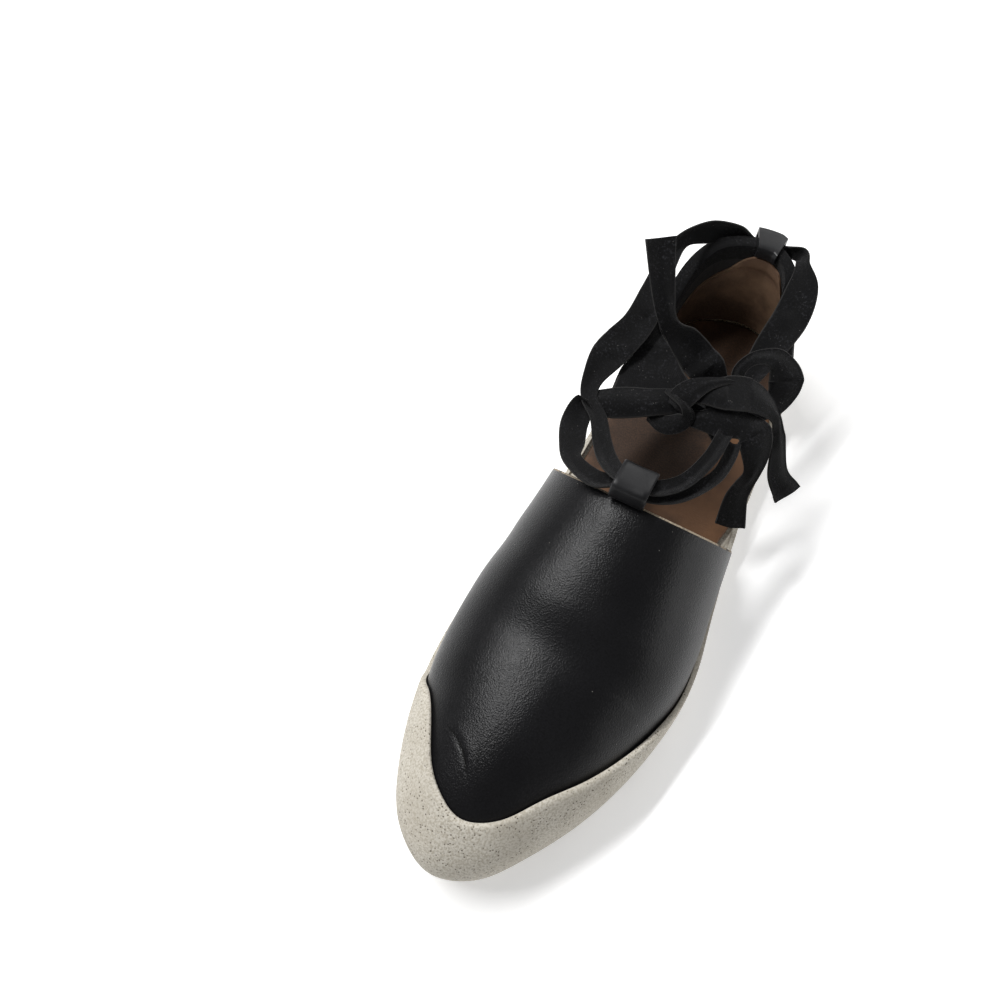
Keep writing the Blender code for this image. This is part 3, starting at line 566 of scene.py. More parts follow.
def rubber_finish():
    """Cream crumb rubber: pale ground with dark flecks and open pores, greyer low down."""
    f = Finish("cream_crumb_rubber", roughness=0.8, specular_ior_level=0.35)
    cloud = f.noise(45.0, 4.0)
    fine = f.noise(1500.0, 3.0, 0.6)
    colour = f.mix(f.ramp(cloud, 0.35, 0.7), paint(200, 195, 184), paint(186, 180, 168))
    colour = f.mix(f.ramp(fine, 0.42, 0.62), colour, paint(172, 165, 151))
    fleck = f.ramp(f.cells(900.0), 0.30, 0.14)
    patch = f.ramp(f.noise(240.0, 2.0), 0.42, 0.56)
    colour = f.mix(f.math("MULTIPLY", fleck, patch), colour, paint(88, 80, 68))
    low = f.ramp(f.split(f.place)[2], 0.009, 0.0)
    dust = f.math("MULTIPLY", low, f.ramp(f.noise(90.0, 5.0), 0.35, 0.75))
    colour = f.mix(f.math("MULTIPLY", dust, 0.55), colour, paint(150, 141, 124))
    pore = f.bump(f.cells(900.0), 0.16, strength=0.7)
    return f.set(colour=colour, rough=f.ramp(fine, 0.3, 0.7, 0.72, 0.92),
                 normal=f.bump(fine, 0.14, under=pore, strength=0.7))


def vamp_finish():
    """Black leather with a fine pebble grain that breaks up its shine; painted shade down in the crease."""
    f = Finish("black_pebbled_leather", specular_ior_level=0.2)
    pebble = f.cells(2100.0, "SMOOTH_F1")
    pore = f.noise(4200.0, 3.0, 0.6)
    cloud = f.noise(30.0, 4.0)
    height = f.math("ADD", f.math("MULTIPLY", pebble, 1.0), f.math("MULTIPLY", pore, 0.5))
    colour = f.mix(f.ramp(cloud, 0.35, 0.7), paint(14, 14, 16), paint(20, 20, 22))
    colour = f.mix(f.ramp(pebble, 0.25, 0.7, 0.0, 0.6), colour, paint(8, 8, 9))
    dust = f.math("MULTIPLY", f.ramp(f.cells(150.0), 0.035, 0.02), 0.5)
    colour = f.mix(dust, colour, paint(150, 148, 142))
    # Painted shade: the leather goes near-black down the toe's crease.
    colour = f.mix(f.ramp(f.attribute("crease"), 0.15, 0.8, 0.0, 0.9), colour, paint(3, 3, 3))
    both = f.math("ADD", f.math("MULTIPLY", cloud, 0.5), f.math("MULTIPLY", pore, 0.5))
    rough = f.ramp(both, 0.3, 0.7, 0.27, 0.35)
    return f.set(colour=colour, rough=rough, normal=f.bump(height, 0.11, strength=0.85))


def smooth_leather_finish():
    """Black strap leather, smoother than the vamp."""
    f = Finish("black_strap_leather", specular_ior_level=0.28)
    grain = f.noise(1400.0, 3.0)
    cloud = f.noise(120.0, 3.0)
    colour = f.mix(f.ramp(cloud, 0.3, 0.7), paint(16, 16, 18), paint(23, 23, 25))
    return f.set(colour=colour, rough=f.ramp(cloud, 0.3, 0.7, 0.34, 0.46),
                 normal=f.bump(grain, 0.06, strength=0.6))


def raw_edge_finish():
    """The cut edge of the vamp: pale fibres with darker dye runs."""
    f = Finish("pale_cut_edge", roughness=0.9)
    fibre = f.noise(2400.0, 4.0, 0.7)
    patch = f.noise(180.0, 3.0)
    colour = f.mix(f.ramp(fibre, 0.35, 0.65), paint(178, 164, 142), paint(120, 106, 90))
    colour = f.mix(f.ramp(patch, 0.5, 0.68), colour, paint(58, 52, 47))
    return f.set(colour=colour, rough=f.ramp(fibre, 0.3, 0.7, 0.82, 0.97), normal=f.bump(fibre, 0.12))


SHADE_SPOT_HEIGHT = 14.0       # height of the insole's face, where the spots of painted shade are centred


def tan_finish(name, light, dark, worn, shade_spots=()):
    """Tan leather, softly creased, with round patches of painted shade given as (across, station, reach),
    darkened to the worn colour.
    """
    f = Finish(name, specular_ior_level=0.25)
    cloud = f.noise(28.0, 5.0, 0.6)
    grain = f.noise(1700.0, 3.0)
    crease = f.cells(330.0, "DISTANCE_TO_EDGE")
    colour = f.mix(f.ramp(cloud, 0.32, 0.68), light, dark)
    # Painted shade: each spot darkens the leather to the worn colour.
    for across, station, reach in shade_spots:
        feeds = {0: f.place, 1: tuple(to_frame(across, station, SHADE_SPOT_HEIGHT))}
        spot = f.add("VectorMath", "Value", feeds, operation="DISTANCE")
        ragged = f.math("ADD", spot, f.ramp(f.noise(60.0, 4.0, 0.6), 0.3, 0.7, -0.006, 0.006))
        colour = f.mix(f.ramp(ragged, reach * MM, 0.42 * reach * MM, 0.0, 0.9), colour, worn)
    colour = f.mix(f.ramp(f.noise(75.0, 3.0), 0.5, 0.75, 0.0, 0.5), colour, worn)
    colour = f.mix(f.ramp(grain, 0.35, 0.7, 0.0, 0.25), colour, dark)
    under = f.bump(f.ramp(crease, 0.0, 0.12), 0.03, strength=0.3)
    return f.set(colour=colour, rough=f.ramp(cloud, 0.3, 0.7, 0.5, 0.68),
                 normal=f.bump(grain, 0.07, under=under))


def jute_finish():
    """Natural jute: pale straw fibre, painted shade down between the stitches, with stray dark strands."""
    f = Finish("natural_jute_weave", roughness=0.95, sheen_weight=0.15, sheen_roughness=0.6)
    deep = f.attribute("stitch")
    strand = f.noise(900.0, 5.0, 0.7, at=f.stretched(f.cloth, (0.001, 0.004, 1.0)))
    fibre = f.noise(1900.0, 4.0, 0.65)
    cloud = f.noise(170.0, 3.0)
    colour = f.mix(f.ramp(cloud, 0.35, 0.65), paint(214, 202, 174), paint(186, 172, 142))
    colour = f.mix(f.ramp(fibre, 0.45, 0.7), colour, paint(146, 130, 100))
    colour = f.mix(f.ramp(strand, 0.58, 0.72, 0.0, 0.5), colour, paint(232, 224, 204))
    # Painted shade: the low parts of the weave, between the stitches, darkened.
    colour = f.mix(f.ramp(deep, 0.42, 0.0, 0.0, 0.9), colour, paint(74, 60, 40))
    return f.set(colour=colour, normal=f.bump(fibre, 0.22, under=f.bump(strand, 0.12)))


TAPE_RIB = 0.75           # from one diagonal rib of the tape's weave to the next


def tape_finish(name, ground, lit, lint=0.3):
    """Matt black tape: a fine diagonal weave, paler ribbed selvages that are also painted highlight along
    both edges, and flecks of lint.
    """
    f = Finish(name, specular_ior_level=0.12, sheen_weight=0.06, sheen_roughness=0.45)
    along, aside, _ = f.split(f.cloth)
    pitch = 2 * np.pi / TAPE_RIB
    slant = f.math("SINE", f.math("MULTIPLY", f.math("ADD", along, aside), pitch))
    other = f.math("SINE", f.math("MULTIPLY", f.math("SUBTRACT", along, aside), pitch))
    weave = f.math("MULTIPLY", slant, other)
    fuzz = f.noise(1150.0, 4.0, 0.75)
    cloud = f.noise(70.0, 3.0)
    colour = f.mix(f.ramp(cloud, 0.3, 0.7), ground, lit)
    worn = f.ramp(f.noise(120.0, 4.0, 0.6), 0.4, 0.62, 0.25, 1.0)
    colour = f.mix(f.math("MULTIPLY", f.ramp(fuzz, 0.5, 0.68), worn), colour, paint(48, 48, 51))
    speck = f.ramp(f.cells(620.0), 0.13, 0.06)
    sparse = f.ramp(f.noise(190.0, 2.0), 0.5, 0.6)
    shown = f.math("MULTIPLY", f.math("MULTIPLY", speck, sparse), lint)
    colour = f.mix(shown, colour, paint(150, 148, 144))
    # Paler stripe along both edges of the tape: partly the tape's own selvage, partly painted highlight on
    # its rounded edge.
    selvage_and_edge_highlight = f.ramp(f.math("ABSOLUTE", aside), 5.9, 6.2, 0.0, 0.5)
    colour = f.mix(selvage_and_edge_highlight, colour, paint(58, 57, 56))
    under = f.bump(weave, 0.12, strength=0.8)
    return f.set(colour=colour, rough=f.ramp(fuzz, 0.3, 0.7, 0.78, 0.95),
                 normal=f.bump(fuzz, 0.16, under=under))


RUBBER = rubber_finish()
LEATHER = vamp_finish()
STRAP_LEATHER = smooth_leather_finish()
CUT_EDGE = raw_edge_finish()
# Spots of painted shade: on the insole under the ribbons and at the heel, and on the grip's inner side at the
# back.
INSOLE_LEATHER = tan_finish("tan_insole_leather", paint(118, 84, 57), paint(94, 67, 47), paint(34, 25, 20),
                            shade_spots=((-13, 79, 38), (-2, 24, 34)))
GRIP_LEATHER = tan_finish("tan_heel_grip_leather", paint(150, 122, 98), paint(112, 88, 70), paint(50, 38, 31),
                          shade_spots=((-30, 2, 44),))
LINING = tan_finish("dark_vamp_lining", paint(74, 58, 47), paint(54, 42, 34), paint(42, 33, 27))
JUTE = jute_finish()
TAPE = tape_finish("black_woven_tape", paint(11, 11, 12), paint(17, 17, 18))
BINDING = tape_finish("black_collar_tape", paint(10, 10, 11), paint(15, 15, 16), lint=0.2)


# ---------------------------------------------------------------- the sole
def outsole():
    """Cup sole: each section is a closed line over the floor, up the rim and the toe band and back."""
    ribs = round_the_foot(40, 78, 26)
    span = ribs.span[:, None]
    lift = sole_lift(ribs.foot)[:, None]
    top = sole_top(ribs.foot)[:, None]
    band = ribs.by_side(RUBBER_BAND)[:, None]
    inset = ribs.inset()[:, None]
    floor = np.array([0.0, 0.25, 0.5, 0.8])[None] * span
    under = (floor, sole_lift(ribs.station(floor)) + TREAD_DEPTH)
    heel_edge = np.array([(-4.0, 0.0), (-3.4, 0.0), (-1.4, 0.9), (-0.3, 2.6), (0.0, 4.2)])
    side = (span + heel_edge[:, 0], lift + np.maximum(heel_edge[:, 1], TREAD_DEPTH))
    share = np.array([0.0, 0.15, 0.3, 0.45, 0.6, 0.75, 0.88, 0.95, 1.0])
    point, normal = along_lines(ribs.upper_line(), band * share)
    thick = (inset - BAND_GAP) * (1 - share) + RUBBER_TOP_EDGE * share
    thick = thick * np.where(share == 1.0, 0.55, 1.0)
    outer = point + normal * (BAND_GAP + thick)[..., None]
    inner = (point + normal * BAND_GAP)[:, [8, 7, 5, 3, 1]]
    well = (point[:, :1, 0] + BAND_GAP - (0.0, 0.5), np.repeat(top, 2, 1))
    back = floor[:, ::-1]
    out = np.concatenate([under[0], side[0], outer[..., 0], inner[..., 0], well[0], back], 1)
    height = np.concatenate([under[1], side[1] + 0 * span, outer[..., 1], inner[..., 1], well[1],
                             sole_top(ribs.station(back))], 1)
    piece = grid_piece("rubber_cup_sole", ribs.place(out, height), [RUBBER], around=True, sharp=50)
    levels(piece, "SUBSURF", "rounding", 1)
    return dress(piece, "cream_rubber", "outsole")


outsole()


def tread():
    """Low lozenges under the sole: on every crossing of two slanted rows that is well inside the
    outline stands a block whose four sides taper down to a smaller lozenge at the ground."""
    wide, long = TREAD_PITCH
    step = np.arange(-40, 41)
    i, j = (axis.ravel() for axis in np.meshgrid(step, step))
    middle = np.stack([(i - j) * wide / 2, LENGTH / 2 + (i + j) * long / 2], -1)
    middle = middle[(middle[:, 1] > 0) & (middle[:, 1] < LENGTH)]
    near = np.linalg.norm(EDGE[None] - middle[:, None], axis=2).min(1)
    off = EDGE[None] - middle[:, None]
    ahead = np.roll(off, -1, 1)
    swing = off[..., 0] * ahead[..., 1] - off[..., 1] * ahead[..., 0]
    turned = np.arctan2(swing, (off * ahead).sum(-1)).sum(1)
    middle = middle[(near > TREAD_MARGIN) & (np.abs(turned) > np.pi)]
    lozenge = np.array([(1, 0), (0, 1), (-1, 0), (0, -1)]) * TREAD_HALF
    rings = []
    for size, drop in ((1.0, -0.3), (1.0, 0.25), (0.82, TREAD_DEPTH - 0.03)):
        flat = middle[:, None] + size * lozenge
        rings.append(to_frame(flat[..., 0], flat[..., 1], sole_lift(flat[..., 1]) + TREAD_DEPTH - drop))
    corners = np.stack(rings, 1).reshape(-1, 3)
    block = np.vstack([quads(3, 4, section=True), [(3, 2, 1, 0), (8, 9, 10, 11)]])
    faces = (12 * np.arange(len(middle))[:, None, None] + block).reshape(-1, 4)
    return dress(mesh_of("rubber_tread", corners, faces, [RUBBER], sharp=30), "cream_rubber")


tread()


FOOT_PRINT = ((30, 26, 0.5), (170, 36, 0.45))    # heel and ball: station, reach, depth


def insole():
    """Sockliner: a slab that follows the sole, with a rolled edge and a shallow print of the foot."""
    ribs = round_the_foot(40, 78, 26)
    edge = (ribs.span - follow(INSOLE_INSET, ribs.foot))[:, None]
    share = np.array([0.0, 0.2, 0.4, 0.6, 0.78, 0.9])[None]
    rise = SEAT + INSOLE_THICK
    roll = np.array([(-1.1, rise), (-0.5, rise - 0.15), (-0.1, rise - 0.6), (0.0, rise - 1.3),
                     (0.0, SEAT + 0.5), (-0.3, SEAT)])
    out = np.concatenate([edge * share, edge + roll[:, 0], edge * share[:, ::-1]], 1)
    flat = 0 * edge
    above = np.concatenate([flat + rise + 0 * share, flat + roll[:, 1], flat + SEAT + 0 * share], 1)
    station = ribs.station(out)
    height = sole_top(station) + above
    inner = np.clip(1 - (out / edge) ** 4, 0, 1) * (above > SEAT + 1)
    worn = sum(deep * np.exp(-((station - at) / reach) ** 2) for at, reach, deep in FOOT_PRINT)
    height = height - inner * worn
    piece = grid_piece("insole_leather", ribs.straight(out, height), [INSOLE_LEATHER], around=True)
    levels(piece, "SUBSURF", "rounding", 1)
    return dress(piece, "tan_leather", "insole")


insole()


# ---------------------------------------------------------------- the vamp
CREASE = (-19.5, 222.0)     # middle of the toe's crease: across, station
CREASE_HALF = 8.5
CREASE_BOW = 1.6
CREASE_TURN = 0.9           # its lean from straight ahead towards the outer side, radians
CREASE_WIDTH = 0.55
CREASE_DEPTH = 0.3
LIP = (2.2, 1.8, 0.12)      # the ridge beside it: how far off, width, height
TAB = (6.2, 149.0, 0.1)     # the strap's sewn ends: half their width, station of their end, height
EDGE_EASE = 0.28            # how far the throat's edge is pressed in


def vamp():
    """Forefoot leather: the pattern's upper lines side by side, with creases pressed into them."""
    fan = np.linspace(1, 0, 90)
    first = turn_of(THROAT)
    sides = np.concatenate([[first], np.linspace(first - 0.004, 1, 100)[:-1]])
    turns = np.concatenate([sides, fan])
    ribs = Ribs(np.concatenate([np.ones(len(turns)), -np.ones(len(turns) - 1)]),
                np.concatenate([turns, turns[:-1][::-1]]))
    lines = ribs.upper_line()
    length = np.linalg.norm(np.diff(lines, axis=1), axis=2).sum(1)
    share = np.linspace(0, 1, 110)
    point, normal = along_lines(lines, length[:, None] * share)
    grid = ribs.place(point[..., 0], point[..., 1])
    across, station = grid[..., 0] / MM - CENTRE_SHIFT, LENGTH / 2 - grid[..., 1] / MM
    spot = np.stack([across, station, grid[..., 2] / MM], -1)
    # The strap's two ends, sewn underneath, press a faint rectangle up through the leather.
    aside = np.abs(across - VAMP_LOOP_CENTRE[0])
    tab = 1 / (1 + np.exp((aside - TAB[0]) * 3.0)) / (1 + np.exp((station - TAB[1]) * 2.4))
    press = TAB[2] * tab + 0.05 * waves(spot, 70.0, 3)
    # A short curved crease on the inner side of the toe: a groove with a soft lip beside it.
    far = (station - CREASE[1]) * np.cos(CREASE_TURN) + (across - CREASE[0]) * np.sin(CREASE_TURN)
    bow = (across - CREASE[0]) * np.cos(CREASE_TURN) - (station - CREASE[1]) * np.sin(CREASE_TURN)
    bow = bow - CREASE_BOW * (1 - (far / CREASE_HALF) ** 2)
    reach = np.exp(-((far / CREASE_HALF) ** 6))
    groove = np.exp(-(bow / CREASE_WIDTH) ** 2) * reach
    press -= CREASE_DEPTH * groove
    press += LIP[2] * np.exp(-((bow - LIP[0]) / LIP[1]) ** 2) * reach
    press *= np.clip((1 - share) * 12, 0, 1) * np.clip(share * 10, 0, 1)
    eased = np.minimum(np.arange(len(lines)), np.arange(len(lines))[::-1])[:, None]
    press -= EDGE_EASE * (eased == 0)
    grid = ribs.place(point[..., 0] + normal[..., 0] * press, point[..., 1] + normal[..., 1] * press)
    throat = np.zeros((len(grid) - 1, len(share) - 1), int)
    throat[[0, -1]] = 2
    # The groove's mask goes along as "crease", where the leather's colour paints shade.
    piece = grid_piece("vamp_leather", grid, [LEATHER, LINING, CUT_EDGE], of_face=throat.ravel(),
                       marks={"crease": groove})
    levels(piece, "SOLIDIFY", "wall", thickness=VAMP_WALL * MM, offset=-1.0, use_even_offset=True,
           use_rim=True, material_offset=1, material_offset_rim=2)
    return dress(piece, "black_leather", "vamp")


vamp()


# ---------------------------------------------------------------- the heel
def even_heel_ribs(count):
    """Ribs from the counter's outer front edge round the back to its inner one, evenly along its foot,
    and their distance along it."""
    front = turn_of(COUNTER_FRONT)
    rough = ribs_past_heel(np.linspace(front, 6 - front, 799))
    run = run_along(rough.root + rough.way * rough.span[:, None])
    even = np.linspace(0, run[-1], count)
    signed = np.where(rough.side > 0, rough.turn, 6 - rough.turn)
    return ribs_past_heel(np.interp(even, run, signed)), even


def counter_wall(ribs, height, depth):
    """Counter points: height above the sole and depth in from its outer face, both (n, k)."""
    back, sides, drift = (follow(COUNTER_LEAN, height, column) for column in (1, 2, 3))
    way = ribs.way[:, 0, None]
    out = (ribs.span - ribs.inset())[:, None] - (back + sides * np.abs(way) + drift * way) - depth
    return ribs.place(out, ribs.low[:, None] + height)


STITCH = (2.35, 1.9)      # from stitch to stitch: along the row, up
ROW_SLANT = 0.33          # how far each row is set over, in stitches


def stitches(run, rise):
    """Basket stitches, 0 in the gaps to 1 on a strand's back: in each cell of a slanted lattice one
    strand arches over, along the row and along the column by turns."""
    x, y = run / STITCH[0] + ROW_SLANT * rise / STITCH[1], rise / STITCH[1]
    i, j = np.floor(x), np.floor(y)
    fx, fy = x - i - 0.5, y - j - 0.5
    even = (i + j) % 2 == 0
    along, aside = np.where(even, fx, fy), np.where(even, fy, fx)
    return np.sqrt(np.clip(1 - (2.0 * aside) ** 2, 0, 1)) * np.cos(np.pi * 0.86 * along)


def counter():
    """Woven heel wall: raised stitches outside, plainer inside, smooth rows at the foot and front."""
    ribs, run = even_heel_ribs(430)
    top = follow(COUNTER_TOP, ribs.foot)[:, None]
    rows = np.linspace(0, 1, 124)[None]
    height = top * rows
    stitch = stitches(run[:, None], height)
    edge = np.minimum(run, run[-1] - run)[:, None]
    woven = np.clip((height - 2.4) / 0.8, 0, 1) * np.clip((edge - 3.0) / 0.8, 0, 1)
    under_tape = np.clip((top - np.minimum(BINDING_OUTSIDE, TAPE_OUTSIDE * top) - height) / 1.0, 0, 1)
    stitch = stitch * woven + 0.55 * (1 - woven)
    rise = WEAVE_RISE * (stitch - 0.15) * np.clip(under_tape, 0.0, 1) - 0.1 * (1 - under_tape)
    outer = counter_wall(ribs, height, -rise)
    inside = np.linspace(1, 0, 30)[None]
    inner_height = top * inside
    inner_stitch = stitches(run[:, None], inner_height)
    inner = counter_wall(ribs, inner_height, COUNTER_WALL - 0.25 * (1 - inner_stitch))
    grid = np.concatenate([outer, inner], 1)
    uv = np.stack(np.broadcast_arrays(run[:, None], np.concatenate([height, inner_height], 1)), -1)
    count = grid.shape[1]
    faces = quads(len(grid), count, section=True).tolist()
    faces.append(list(range(count)))
    faces.append([(len(grid) - 1) * count + k for k in range(count)][::-1])
    piece = mesh_of("jute_counter", grid.reshape(-1, 3), faces, [JUTE], uv=uv.reshape(-1, 2), merge=False,
                    marks={"stitch": np.concatenate([stitch + 0 * height, inner_stitch], 1)})
    shape = bmesh.new()
    shape.from_mesh(piece.data)
    bmesh.ops.recalc_face_normals(shape, faces=shape.faces)
    shape.to_mesh(piece.data)
    shape.free()
    return dress(piece, "natural_jute", "counter")


counter()


CORD_RADIUS = 0.85
CORD_SIDES = 10
FOOT_CORDS = ((0.95, -0.55), (2.45, -0.45))      # height above the sole, depth in from the wall's face
FRONT_CORDS = ((2, -0.35), (5, -0.4))            # ribs in from the front edge, depth


def jute_cords():
    """Twisted two-ply cords: two down each front edge of the counter and two round its foot."""
    ribs, run = even_heel_ribs(300)
    paths = [counter_wall(ribs, np.full((len(run), 1), height), depth)[:, 0] for height, depth in FOOT_CORDS]
    top = follow(COUNTER_TOP, ribs.foot)
    for end, way in ((0, 1), (len(run) - 1, -1)):
        for step, depth in FRONT_CORDS:
            k = end + way * step
            one = Ribs(np.full(60, ribs.side[k]), np.full(60, ribs.turn[k]))
            heights = np.linspace(0.8, top[k] - TAPE_OUTSIDE * top[k], 60)
            paths.append(counter_wall(one, heights[:, None], depth)[:, 0])
    corners, faces, pairs, first = [], [], [], 0
    around = np.arange(CORD_SIDES)
    for path in paths:
        fine = smooth_through(path[::3], 9)
        grid = tube(fine, CORD_RADIUS * MM, CORD_SIDES, twist=900.0, groove=0.30)
        last = first + (len(grid) - 1) * CORD_SIDES
        corners.append(grid.reshape(-1, 3))
        faces += quads(len(grid), CORD_SIDES, section=True, first=first).tolist()
        faces += [(first + around).tolist(), (last + around)[::-1].tolist()]
        far = run_along(fine) / MM
        pairs.append(np.stack(np.broadcast_arrays(far[:, None], around[None] * 0.5), -1).reshape(-1, 2))
        first += grid.shape[0] * CORD_SIDES
    piece = mesh_of("jute_edge_cords", np.vstack(corners), faces, [JUTE], uv=np.vstack(pairs), merge=False,
                    marks={"stitch": np.full(first, 0.6)})
    return dress(piece, "natural_jute")


jute_cords()


def hem_inside(ribs):
    """How deep the collar tape hangs inside: BINDING_INSIDE at the back, deeper at the sides."""
    beside = np.clip((np.abs(ribs.way[:, 0, None]) - 0.4) / 0.4, 0, 1)
    return BINDING_INSIDE + (BINDING_SIDES - BINDING_INSIDE) * beside


def folded_over(name, ribs, outside, inside, clear, thick, finish, slot, *nodes):
    """A strip folded over the counter's top edge: one closed section, rounded over the crest.

    outside and inside are the depths it hangs to; clear is its gap from the wall (out, top, in)."""
    top = follow(COUNTER_TOP, ribs.foot)[:, None]
    out_face, in_face = -clear[0] - thick, COUNTER_WALL + clear[2] + thick
    down = np.linspace(1, 0.08, 12)[None]
    out_fall, in_fall = np.minimum(outside, TAPE_OUTSIDE * top), np.minimum(inside, TAPE_INSIDE * top)
    crest = top + clear[1] + thick
    arc = np.linspace(0, np.pi, 13)[1:-1][None]
    half = (in_face - out_face) / 2
    middle = (in_face + out_face) / 2
    rounded = np.sign(np.cos(arc)) * np.abs(np.cos(arc)) ** CREST_CORNER
    climb = CREST_EASE * np.sin(arc) ** CREST_CORNER
    over = (crest - CREST_EASE + climb, middle - half * rounded)
    under = (crest - CREST_EASE - thick + climb, middle - (half - thick) * rounded)
    height = np.concatenate([top - out_fall * down, over[0], top - in_fall * down[:, ::-1]], 1)
    depth = [0 * top + out_face + 0 * down, 0 * top + over[1], 0 * top + in_face + 0 * down]
    depth = np.concatenate(depth, 1)
    back_height = np.concatenate([top - out_fall * down, under[0], top - in_fall * down[:, ::-1]], 1)
    back_depth = np.concatenate([0 * top + out_face + thick + 0 * down, 0 * top + under[1],
                                 0 * top + in_face - thick + 0 * down], 1)
    grid = counter_wall(ribs, np.concatenate([height, back_height[:, ::-1]], 1),
                        np.concatenate([depth, back_depth[:, ::-1]], 1))
    run = run_along(grid[:, 0]) / MM
    v = np.concatenate([height - top, (back_height - top)[:, ::-1]], 1)
    uv = np.stack(np.broadcast_arrays(run[:, None], v), -1)
    piece = grid_piece(name, grid, [finish], section=True, capped=True, uv=uv, sharp=60)
    return dress(piece, slot, *nodes)


SEAM = GAP + 0.1
binding_ribs, _ = even_heel_ribs(180)
folded_over("collar_tape", binding_ribs, BINDING_OUTSIDE, hem_inside(binding_ribs), (SEAM, SEAM, SEAM),
            BINDING_THICK, BINDING, "black_tape", "collar_binding")
loop_ribs = ribs_past_heel(np.linspace(2.945, 3.2, 34))
loop_seat = SEAM + BINDING_THICK
folded_over("heel_strap_loop", loop_ribs, HEEL_LOOP_DEPTH, HEEL_LOOP_INSIDE,
            (loop_seat + RIBBON_SLOT, loop_seat + GAP, loop_seat + GAP), LOOP_LEATHER,
            STRAP_LEATHER, "black_leather", "heel_loop")


GRIP_FOOT = 3.3           # where the grip starts above the sole


def heel_grip():
    """Tan leather inside the heel, from the insole up over the tape's inner hem to the crest."""
    ribs = ribs_past_heel(np.linspace(2.02, 3.86, 90))
    top = follow(COUNTER_TOP, ribs.foot)[:, None]
    rows = np.linspace(0, 1, 40)[None]
    bare = 3.5 + (hem_inside(ribs) - 4.5) * np.clip((np.abs(ribs.way[:, 0, None]) - 0.3) / 0.3, 0, 1)
    height = GRIP_FOOT + (top - bare - GRIP_FOOT) * rows
    hem = top - np.minimum(hem_inside(ribs), TAPE_INSIDE * top)
    over_hem = 1 / (1 + np.exp(-(height - hem + 1.2) * 1.6))
    depth = COUNTER_WALL + 0.15 + (SEAM + BINDING_THICK + 0.05) * over_hem
    front = counter_wall(ribs, height, depth + 0.8)
    back = counter_wall(ribs, height, depth)
    grid = np.concatenate([front, back[:, ::-1]], 1)
    piece = grid_piece("heel_grip_leather", grid, [GRIP_LEATHER], section=True, capped=True, sharp=60)
    return dress(piece, "tan_leather")


heel_grip()


# ---------------------------------------------------------------- the vamp's strap loop
def vamp_loop():
    """A strap bent into a rounded ring: a squared circle carried sideways, edges eased."""
    centre, (depth, height), turn = VAMP_LOOP_CENTRE, VAMP_LOOP_OPENING, VAMP_LOOP_LEAN
    angle = np.arange(72) * 2 * np.pi / 72
    ring = np.stack([np.cos(angle), np.sin(angle)], -1)
    ring = np.sign(ring) * np.abs(ring) ** VAMP_LOOP_CORNER
    eased = LOOP_LEATHER - 0.3
    grow = np.array([0.25, 0.0, 0.0, 0.25, eased, LOOP_LEATHER, LOOP_LEATHER, eased])
    side = VAMP_LOOP_WIDTH / 2 * np.array([-1, -0.93, 0.93, 1, 1, 0.92, -0.92, -1])
    steps = np.linspace(0, 1, 9)[:-1]
    grow = np.concatenate([np.interp(steps, [0, 1], [a, b]) for a, b in zip(grow, np.roll(grow, -1))])
    side = np.concatenate([np.interp(steps, [0, 1], [a, b]) for a, b in zip(side, np.roll(side, -1))])
    back = ring[:, 0, None] * (depth / 2 + grow)
    up = ring[:, 1, None] * (height / 2 + grow)
    up = up - 0.35 * np.exp(-(side / 4.5) ** 2) * (ring[:, 1, None] > 0.3)
    station = centre[1] + back * np.cos(turn) - up * np.sin(turn)
    grid = to_frame(centre[0] + side + 0 * back, station, centre[2] + back * np.sin(turn) + up * np.cos(turn))
    piece = grid_piece("vamp_strap_loop", grid, [STRAP_LEATHER], around=True, section=True, sharp=70)
    return dress(piece, "black_leather", "vamp_loop")


vamp_loop()


